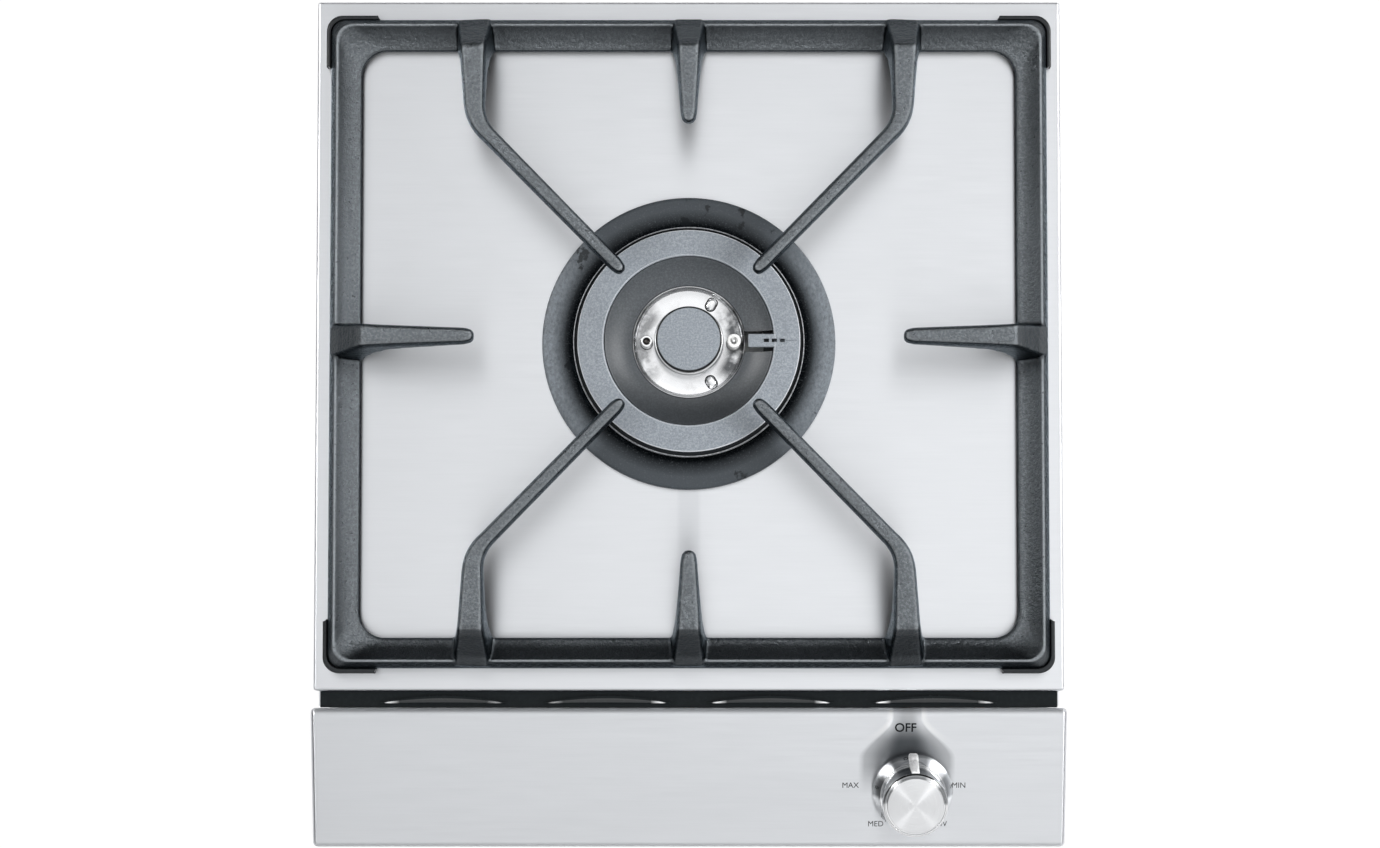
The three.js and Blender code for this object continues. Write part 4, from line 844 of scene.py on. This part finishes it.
def cast(mesh, grain, smoothing):
    """One skin over overlapping solids, with the soft edges and small fillets of a casting."""
    obj = placed("cast", mesh)
    remesh = obj.modifiers.new("skin", "REMESH")
    remesh.mode = "VOXEL"
    remesh.voxel_size = grain * MM
    smooth = obj.modifiers.new("smooth", "SMOOTH")
    smooth.factor = 0.5
    smooth.iterations = smoothing
    return applied(obj)


def add_pan_support(material):
    solids = [grid_frame()]
    for side in (1, -1):
        solids.append(short_finger(GRID_Y, (1, side), False))
        solids.append(short_finger(GRID_X, (side, 1), True))
        for rear in (1, -1):
            solids.append(long_finger((side, rear)))
    mesh = cast(merged(solids), 0.85, 3)
    grid = finished("pan_support_casting", mesh, "grid", material, 180)
    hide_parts("pan_support")


def add_corner_pads(material):
    """A rubber pad wraps each outer corner of the frame and lies under it."""
    arm, proud, height, gap, turns = 25, 2.5, 8, 0.3, 12
    profile = rounded([
        (-proud, 0, 0.5), (-proud, height, 1.2), (-gap, height, 0.5), (-gap, BAR_FOOT - gap, 0),
        (BAR / 2, BAR_FOOT - gap, 0), (BAR / 2, 0, 0.3),
    ], 3)
    places = {"rear_right": (1, 1), "rear_left": (-1, 1), "front_left": (-1, -1), "front_right": (1, -1)}
    for name, (sx, sy) in places.items():
        rows = []
        for i in range(-2, turns + 3):
            row = []
            for inset, z in profile:
                radius = max(OUTER_CORNER - inset * 0.4, 1)
                angle = min(max(i, 0), turns) / turns * math.pi / 2
                x = GRID_X - inset - radius + radius * math.cos(angle)
                y = GRID_Y - inset - radius + radius * math.sin(angle)
                shy = max(0.0, -inset) * 0.8
                end = arm - (shy if i in (-2, turns + 2) else shy * 0.2 + 1)
                if i < 0:
                    y = GRID_Y - end
                if i > turns:
                    x = GRID_X - end
                row.append((x * sx, y * sy, z))
            rows.append(row)
        pad = finished(f"pad_{name}", skinned("pad", rows, BURNER), "grid", material, 50)
        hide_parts(f"corner_pad_{name}")


# ---------------- burner
ELECTRODE_X, THERMOCOUPLE_X = 22.7, -21.4


def mesh_alone(obj):
    """The object's mesh. The object is removed."""
    mesh = obj.data
    bpy.data.objects.remove(obj)
    return mesh


def add_base_ring(material):
    ring = lathe("base_ring", [
        (50.3, 0, 0), (74.6, 0, 0.3), (74.6, 3, 0.7), (73.4, 3.9, 1), (63.6, 5, 3), (58.6, 4.7, 0.3),
        (50.3, 4.7, 0.3),
    ], BURNER, "hob", material)
    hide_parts("burner_base_ring")


def add_outer_burner(rim_metal, cap_enamel, funnel_enamel):
    crown = lathe("crown", [
        (44, 0, 0), (46.7, 0, 0), (46.7, 5, 0), (58.6, 5, 0.4), (58.6, 9.8, 0.2), (58.1, 9.9, 0.15),
        (57.7, 8.8, 0.3), (53.5, 8.4, 0.2), (53.5, 12, 0), (44, 12, 0), (44, 7, 0), (38, 7, 0), (38, 5, 0),
        (44, 5, 0),
    ], BURNER, "hob", rim_metal)
    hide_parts("outer_crown")

    ring = lathe("cap_ring", [
        (43, 8, 0.2), (43.7, 8, 0.2), (43.7, 12, 0.3), (55.9, 12, 0.3), (56.4, 12.6, 0.3), (56.3, 15, 0.6),
        (43.7, 16, 0.35), (43, 15.6, 0.2),
    ], BURNER, "large_cap", cap_enamel)
    arm = bevelled(block(30, 44.2, -3.3, 3.3, 13, 16, BURNER), 0.35)
    cap_mesh = carved(mesh_alone(ring), [arm], "UNION")
    grooves = [block(30.5, 37.5, -0.9, 0.9, 15.8, 17, BURNER), block(49, 56, -0.25, 0.25, 14.9, 17, BURNER)]
    slots = [block(x - 1.3, x + 1.3, -0.9, 0.9, 12.5, 20, BURNER) for x in (39.2, 43.2, 47.2)]
    cap = finished("cap_and_bridge", carved(cap_mesh, [*grooves, *slots]), "large_cap", cap_enamel, 30)
    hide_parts("outer_cap")

    outer, inner, top, drop, sheet, steps = 42.7, 28.6, 15, 6, 1.5, 12
    upper = []
    for i in range(steps + 1):
        share = i / steps
        upper.append((outer - (outer - inner) * share, top - drop * (1 - (1 - share) ** 1.7), 0))
    upper[0] = (*upper[0][:2], 0.5)
    upper[-1] = (*upper[-1][:2], 0.4)
    lower = [(r, z - sheet, 0) for r, z, _ in upper[1:]][::-1]
    funnel = lathe("funnel", [
        (outer, 7, 0), *upper, *lower, (outer - sheet, top - sheet - 2.2, 0), (outer - sheet, 7, 0),
    ], BURNER, "hob", funnel_enamel)
    notch = block(20, 46, -5.3, 5.3, 0, 30, BURNER)
    funnel = finished("funnel_ring", carved(mesh_alone(funnel), [notch]), "hob", funnel_enamel, 30)
    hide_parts("burner_funnel")


def lozenge(levels, radius, shift, place):
    """A boss with two straight sides and round ends, lengthways along X, from (height, shrink) levels."""
    turns = [2 * math.pi * k / 48 for k in range(48)]
    rows = []
    for z, shrink in levels:
        reach = radius - shrink
        rows.append([
            (reach * math.cos(a) + math.copysign(shift, math.cos(a)), reach * math.sin(a), z) for a in turns
        ])
    return skinned("lozenge", rows, place)


def add_inner_burner(bowl_steel, aluminium, cap_enamel, soot_and_painted_shade):
    bowl = lathe("bowl", [
        (15.3, 1, 0), (26.4, 1, 1), (28.3, 2.6, 1), (28.3, 8.6, 0), (28.1, 8.6, 0), (28, 3.2, 0.6),
        (27, 2.3, 1), (24.5, 2, 2), (15.3, 2, 0),
    ], BURNER, "hob", bowl_steel, 128)
    bowl_mesh = mesh_alone(bowl)
    dome = ((1.6, 0), (2.2, 0), (2.7, 0.25), (3.1, 0.7), (3.3, 1.2), (3.4, 1.9))
    brim = ((1.5, 0), (2.2, 0), (2.25, 0.1))
    for name, degrees in (("rear", 60), ("front", -60)):
        turn = Matrix.Rotation(math.radians(degrees), 4, "Z")
        place = BURNER @ turn @ Matrix.Translation((22.9 * MM, 0, 0))
        boss = finished(f"bowl_boss_{name}", lozenge(dome, 2.5, 0.9, place), "hob", bowl_steel, 30)
        # A near-black ring round each boss's foot, as painted shade.
        painted_shade_ring = finished(f"boss_painted_shade_{name}", lozenge(brim, 2.9, 0.9, place), "hob", soot_and_painted_shade, 30)
    holes = [drum(radius, x, -5, 20, BURNER) for radius, x in ((3.85, ELECTRODE_X), (3.3, THERMOCOUPLE_X))]
    bowl = finished("polished_bowl", carved(bowl_mesh, holes), "hob", bowl_steel, 30)
    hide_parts("burner_bowl")

    crown = lathe("inner_burner_crown", [
        (15.3, 2.4, 0), (17.6, 2.4, 0.2), (17.6, 14, 0.5), (16.8, 14.6, 0.3),
        (15, 14.6, 0.2), (15, 18, 0), (12, 18, 0), (12, 8, 0), (15.3, 8, 0),
    ], BURNER, "hob", aluminium, 96)
    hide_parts("inner_crown")
    cap = lathe("small_burner_cap", [
        (0, 18, 0), (10, 18, 0), (10, 14.5, 0.2), (11.7, 14.5, 0.2), (11.7, 18, 0), (16.2, 18, 0.3),
        (16.7, 18.6, 0.4), (16.7, 21, 0.5), (15.8, 22, 0.6), (0, 22, 0),
    ], BURNER, "small_cap", cap_enamel, 128)
    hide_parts("inner_cap")


def add_sensors(ceramic, steel, tip_steel):
    """The spark electrode and the thermocouple, which stand in the bowl and reach down into the case."""
    electrode, thermocouple = (
        BURNER @ Matrix.Translation((x * MM, 0, 0)) for x in (ELECTRODE_X, THERMOCOUPLE_X)
    )
    bottom = -48
    sleeve = lathe("electrode_sleeve", [
        (1.2, bottom, 0), (3.55, bottom, 0), (3.55, 15, 0.9), (1.9, 15, 0.3), (1.8, 12.4, 0.2),
        (1.2, 12.4, 0.1),
    ], electrode, "hob", ceramic, 48)
    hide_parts("spark_electrode_ceramic")
    pin = lathe("electrode_pin", [
        (0, bottom - 4, 0), (0.9, bottom - 4, 0), (0.9, 14.6, 0.4), (0, 14.6, 0),
    ], electrode, "hob", steel, 32)
    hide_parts("spark_electrode_pin")
    tube = lathe("thermocouple_tube", [
        (1.8, bottom, 0), (3, bottom, 0), (3, 12, 0.4), (1.8, 12, 0.2),
    ], thermocouple, "hob", steel, 48)
    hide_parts("thermocouple_sleeve")
    tip = lathe("thermocouple_point", [
        (0, bottom - 4, 0), (1.5, bottom - 4, 0), (1.5, 11.2, 0.8), (0, 11.8, 0),
    ], thermocouple, "hob", tip_steel, 32)
    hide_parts("thermocouple_tip")


# ---------------- sheet metal
SHEET = 1.2
LOUVRE_PITCH, LOUVRE_HALF, LOUVRE_DEPTH = 83, 32.3, 4.1
vent_low, vent_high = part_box("vent_strip")
louvre_lip = (vent_low.y + vent_high.y) / 2 / MM - LOUVRE_DEPTH / 2


def add_top_plate(material):
    half, edge, hole = 190, 14, 53
    front, back = (plate_low.y - plate_middle_y) / MM, (plate_high.y - plate_middle_y) / MM
    outside = bevelled(block(-half, half, front, back, -edge, 0, BURNER), 1.4, 4)
    inside = block(-half + SHEET, half - SHEET, front + SHEET, back - SHEET, -30, -SHEET, BURNER)
    mesh = carved(outside, [inside, drum(hole, 0, -9, 9, BURNER, 96)])
    plate = finished("brushed_plate", mesh, "hob", material, 35)
    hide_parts("top_plate")


def painted_louvre_glints(material):
    """Paints bright highlights along the front lip near both ends of each louvre."""
    shader = Shader(material)
    across, behind, _ = shader.offset((LOUVRE_PITCH / 2 * MM, louvre_lip * MM, 0))
    off = shader.math("PINGPONG", across, LOUVRE_PITCH / 2 * MM)
    wear_and_painted_light = shader.product(
        shader.spread(off, 0.022, 0.0265),
        shader.spread(off, 0.028, 0.030, 1, 0),
        shader.spread(shader.noise((14, 1, 1), 0, 0.5), 0.42, 0.56, 0.25, 1),
        shader.spread(behind, 0.0016, 0.0022, 1, 0),
    )
    shader.blend(wear_and_painted_light, (0.93, 0.94, 0.95))
    return material


def add_louvres(material):
    """Glossy arched hoods along the vent strip, over the hoods of the plain one."""
    arch = [(0, -2.2), (0, -0.4), (0.12, 0.05), (0.5, 0.2), (0.85, -0.3), (1, -1.2), (1, -2.2)]
    top, steps = vent_high.z / MM, 24
    for number in range(4):
        x = (number - 1.5) * LOUVRE_PITCH
        rows = []
        for i in range(1, steps):
            t = 2 * i / steps - 1
            depth, rise = LOUVRE_DEPTH * (1 - t * t), 1 - t ** 4
            rows.append([(x + LOUVRE_HALF * t, louvre_lip + depth * a, top + h * rise) for a, h in arch])
        hood = finished(f"louvre_{number + 1}", skinned("louvre", rows, WORLD), "hob", material, 50)


def panel_outline(inset, steps=10):
    """The control panel from the side, in y and z: rear lip, round edge, slope, round edge, front, bottom."""
    front, lip = panel_low.y / MM, panel_high.y / MM
    top, bottom, radius = plate_high.z / MM, panel_low.z / MM, 3.5
    turn = math.pi / 2 + slope
    rear_y, rear_z = lip - radius, top - radius * (1 + math.sin(slope)) / math.cos(slope)
    front_y = front + radius
    front_z = rear_z - (rear_y - front_y) * math.tan(slope)
    points = [(lip - inset, bottom + inset)]
    for y, z, start, end in ((rear_y, rear_z, 0, turn), (front_y, front_z, turn, math.pi)):
        for i in range(steps + 1):
            angle = start + (end - start) * i / steps
            points.append((y + (radius - inset) * math.cos(angle), z + (radius - inset) * math.sin(angle)))
    return points + [(front + inset, bottom + inset)]


def panel_solid(half, inset, edge, steps=6):
    """The panel's outline carried from end to end, its ends rounded over the length edge."""
    stations = [(-half, inset)]
    if edge:
        angles = [(steps - k) / steps * math.pi / 2 for k in range(steps + 1)]
        stations = [(-half + edge * (1 - math.sin(a)), inset + edge * (1 - math.cos(a))) for a in angles]
    stations += [(-x, shy) for x, shy in reversed(stations)]
    rows = [[(x, y, z) for y, z in panel_outline(shy)] for x, shy in stations]
    return skinned("panel", rows, WORLD)


def add_control_panel(material):
    half, flange, stem_hole = panel_high.x / MM, 12, 5
    lip, front, bottom = panel_high.y / MM, panel_low.y / MM, panel_low.z / MM
    window = half - SHEET - flange
    tools = [
        panel_solid(half - SHEET, SHEET, 0),
        block(-window, window, lip - 5, lip + 5, bottom - 5, 85, WORLD),
        block(-window, window, front + 17, lip + 5, bottom - 9, bottom + 5, WORLD),
        drum(stem_hole, 0, -9, 9, CONTROL),
    ]
    mesh = carved(panel_solid(half, 0, 2.4), tools)
    panel = finished("brushed_panel", mesh, "hob", material, 25)
    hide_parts("control_panel")


def add_legend(material):
    """Printed words round the knob, as thin raised ink."""
    ink_height, lift = 0.02 * MM, 0.03 * MM
    for text, x, up, size, weight in (
        ("OFF", -3.7, 32.6, 6.3, 0.12), ("MAX", -31.4, 2.6, 4, 0), ("MIN", 23.6, 2.6, 4, 0),
        ("MED", -18.4, -17.6, 4, 0), ("LOW", 13.2, -17.6, 4, 0),
    ):
        data = bpy.data.curves.new(f"word_{text}", "FONT")
        data.body = text
        data.size = size * MM
        data.extrude = ink_height
        data.offset = weight * MM
        data.align_x = "CENTER"
        data.align_y = "CENTER"
        mesh = applied(placed("word", data))
        mesh.transform(CONTROL @ Matrix.Translation((x * MM, up * MM, lift)))
        finished(f"legend_{text}", mesh, "hob", material, 30)


# ---------------- knob
def add_knob(barrel_metal, skirt_metal, spun, index):
    """The knob's bevelled skirt and its barrel, each with its part of the index ridge, and the spun face."""
    base, top = 3.5, 31
    skirt_top = base + 9
    skirt = lathe("skirt", [
        (8.3, base + 1, 0), (19.4, base, 0.3), (20.6, base + 1, 0.8), (17, skirt_top, 0.2),
        (13.4, skirt_top, 0), (13.4, skirt_top - 3, 0), (8.3, skirt_top - 3, 0),
    ], CONTROL, "knob", skirt_metal)
    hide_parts("knob_skirt")
    foot = rib((base + 1.4, 2.6, 20.8), (skirt_top, 2.35, 19.5), 14, CONTROL)
    finished("index_foot", bevelled(foot, 0.3), "knob", index, 30)

    barrel = lathe("barrel", [
        (0, 27, 0), (8.3, 27, 0), (8.3, 9.8, 0), (13.1, 9.8, 0), (13.1, 12.8, 0), (16.4, 12.8, 0.3),
        (16.4, top - 1.7, 0.4), (15.6, top - 0.7, 0.3), (15.1, top - 0.7, 0.1), (14.9, top - 1.6, 0.1),
        (0, top - 1.6, 0),
    ], CONTROL, "knob", barrel_metal)
    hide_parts("knob_barrel")
    ridge = rib((skirt_top + 0.3, 2.33, 19.5), (top - 2.6, 2.0, 17.2), 14.5, CONTROL)
    finished("index_ridge", bevelled(ridge, 0.3), "knob", index, 30)
    face = lathe("spun_face", [
        (0, top - 1.8, 0), (14.2, top - 1.8, 0), (14.2, top, 0.35), (0, top, 0),
    ], CONTROL, "knob", spun, smooth_angle=30)


# ---------------- everything together
add_camera()
add_floor()
add_world()
add_softbox("right", (1.3, -0.3, 1.4), (0, 0, 0.1), 1.0, 34, False)
add_softbox("left", (-1.2, -0.6, 1.3), (0, 0, 0.1), 1.0, 16, False)
add_softbox("rear", (0.1, 1.6, 0.9), (0.1, -0.1, 0.1), 0.8, 10, False)
for side, power in ((-1, 10.5), (1, 11)):
    add_softbox("window", (0.1 + 1.26 * side, 0.5, 1.2), (0.1, -0.19, 0.1), 0.45, power, True)

polished = turned_metal("polished_metal", (0.88, 0.885, 0.89), 0.06, 0.3)
painted_rim_highlight, painted_rim_shade = (0.75, 0.78, 0.82), (0.004, 0.005, 0.006)
by_slot = {
    "stainless_steel": brushed("side_steel", (0.74, 0.755, 0.78), 0.32, "y"),
    "screw_steel": plain_metal("screw_steel", (0.72, 0.73, 0.75), 0.2),
    "foot_rubber": moulded("foot_rubber", (0.022, 0.022, 0.024), 0.7),
    "pad_rubber": moulded("pad_rubber", (0.016, 0.018, 0.02), 0.35, 700, 0.00006, 0.3),
    "vent_black": moulded("vent_black", (0.006, 0.008, 0.009), 0.4, 700, 0.00004, 0.12),
    "cast_enamel": cast_enamel(),
    "black_enamel": base_enamel(),
    # The cap's pale lines are painted highlights along its edges, and the dark one is painted shade round the
    # small cap.
    "grey_enamel": fine_enamel("cap_enamel", (0.235, 0.262, 0.293), (0.345, 0.373, 0.405), 0.5, (
        (0.0436, 0.0003, 0.3, painted_rim_highlight), (0.0562, 0.0003, 0.9, painted_rim_highlight), (0.0164, 0.0008, 1, painted_rim_shade),
    )),
    "dark_enamel": fine_enamel("funnel_enamel", (0.048, 0.055, 0.062), (0.08, 0.089, 0.098), 0.42),
    "cast_aluminium": plain_metal("cast_aluminium", (0.80, 0.81, 0.82), 0.35),
    "polished_steel": polished,
    "electrode_ceramic": moulded("white_ceramic", (0.92, 0.92, 0.91), 0.25, 900, 0.00003),
    "brass": plain_metal("brass", (0.62, 0.46, 0.20), 0.3),
    "copper_pipe": plain_metal("copper", (0.58, 0.27, 0.16), 0.32),
    "black_plastic": moulded("black_plastic", (0.02, 0.021, 0.023), 0.45),
    "lead_sheath": moulded("lead_rubber", (0.3, 0.045, 0.03), 0.5),
    "knob_metal": polished,
}
painted_shade_in_front(by_slot["dark_enamel"], (0.012, 0.014, 0.016))
slots = {part["node"]: part["material_slot"] for part in frame["record"]["subparts"]}
for name, node in frame["nodes"].items():
    node.data.materials.clear()
    node.data.materials.append(by_slot[slots[name]])

add_pan_support(by_slot["cast_enamel"])
add_corner_pads(by_slot["pad_rubber"])
add_base_ring(by_slot["black_enamel"])
add_outer_burner(crown_metal(), by_slot["grey_enamel"], by_slot["dark_enamel"])
# Near-black for the painted shade round the bowl's bosses.
painted_shade_black = moulded("painted_shade_black", (0.012, 0.013, 0.014), 0.7, 900, 0.00002, 0.2)
add_inner_burner(steel_with_painted_reflection(), by_slot["cast_aluminium"], by_slot["grey_enamel"], painted_shade_black)
fired_steel = plain_metal("fired_steel", (0.10, 0.09, 0.085), 0.4)
add_sensors(by_slot["electrode_ceramic"], polished, fired_steel)
add_top_plate(painted_finger_reflection(brushed("plate_steel", (0.895, 0.91, 0.935), 0.38, "x", 0.85)))
add_control_panel(painted_knob_reflection(brushed("panel_steel", (0.84, 0.855, 0.88), 0.33, "x", 1.0)))
add_louvres(painted_louvre_glints(moulded("louvre_black", (0.010, 0.012, 0.013), 0.2, 700, 0.00003, 0.6)))
add_legend(moulded("ink", (0.005, 0.006, 0.007), 0.5, 2500, 0.00001, 0.2))

skirt_metal = painted_dark_sectors(turned_metal("skirt_metal", (0.90, 0.905, 0.91), 0.06, 0.3), (
    (0, 0.8), (0.085, 0.75), (0.1, 0), (0.18, 0), (0.195, 0.6), (0.34, 0.75), (0.355, 0), (0.415, 0),
    (0.43, 0.75), (0.5, 0.8), (0.515, 0), (0.985, 0), (1, 0.8),
))
barrel_metal = painted_dark_sectors(turned_metal("barrel_metal", (0.88, 0.885, 0.89), 0.06, 0.3), (
    (0, 0), (0.015, 0.75), (0.1, 0.75), (0.115, 0), (0.18, 0), (0.2, 0.75), (0.325, 0.75), (0.345, 0),
    (0.4, 0), (0.415, 0.7), (0.48, 0.7), (0.495, 0), (1, 0),
))
spun_metal = turned_metal("spun_metal", (0.86, 0.865, 0.875), 0.3, 0.95)
index_white = moulded("index_white", (0.93, 0.935, 0.94), 0.3, 1500, 0.00002)
add_knob(barrel_metal, skirt_metal, spun_metal, index_white)

bpy.context.scene.view_settings.view_transform = "Standard"
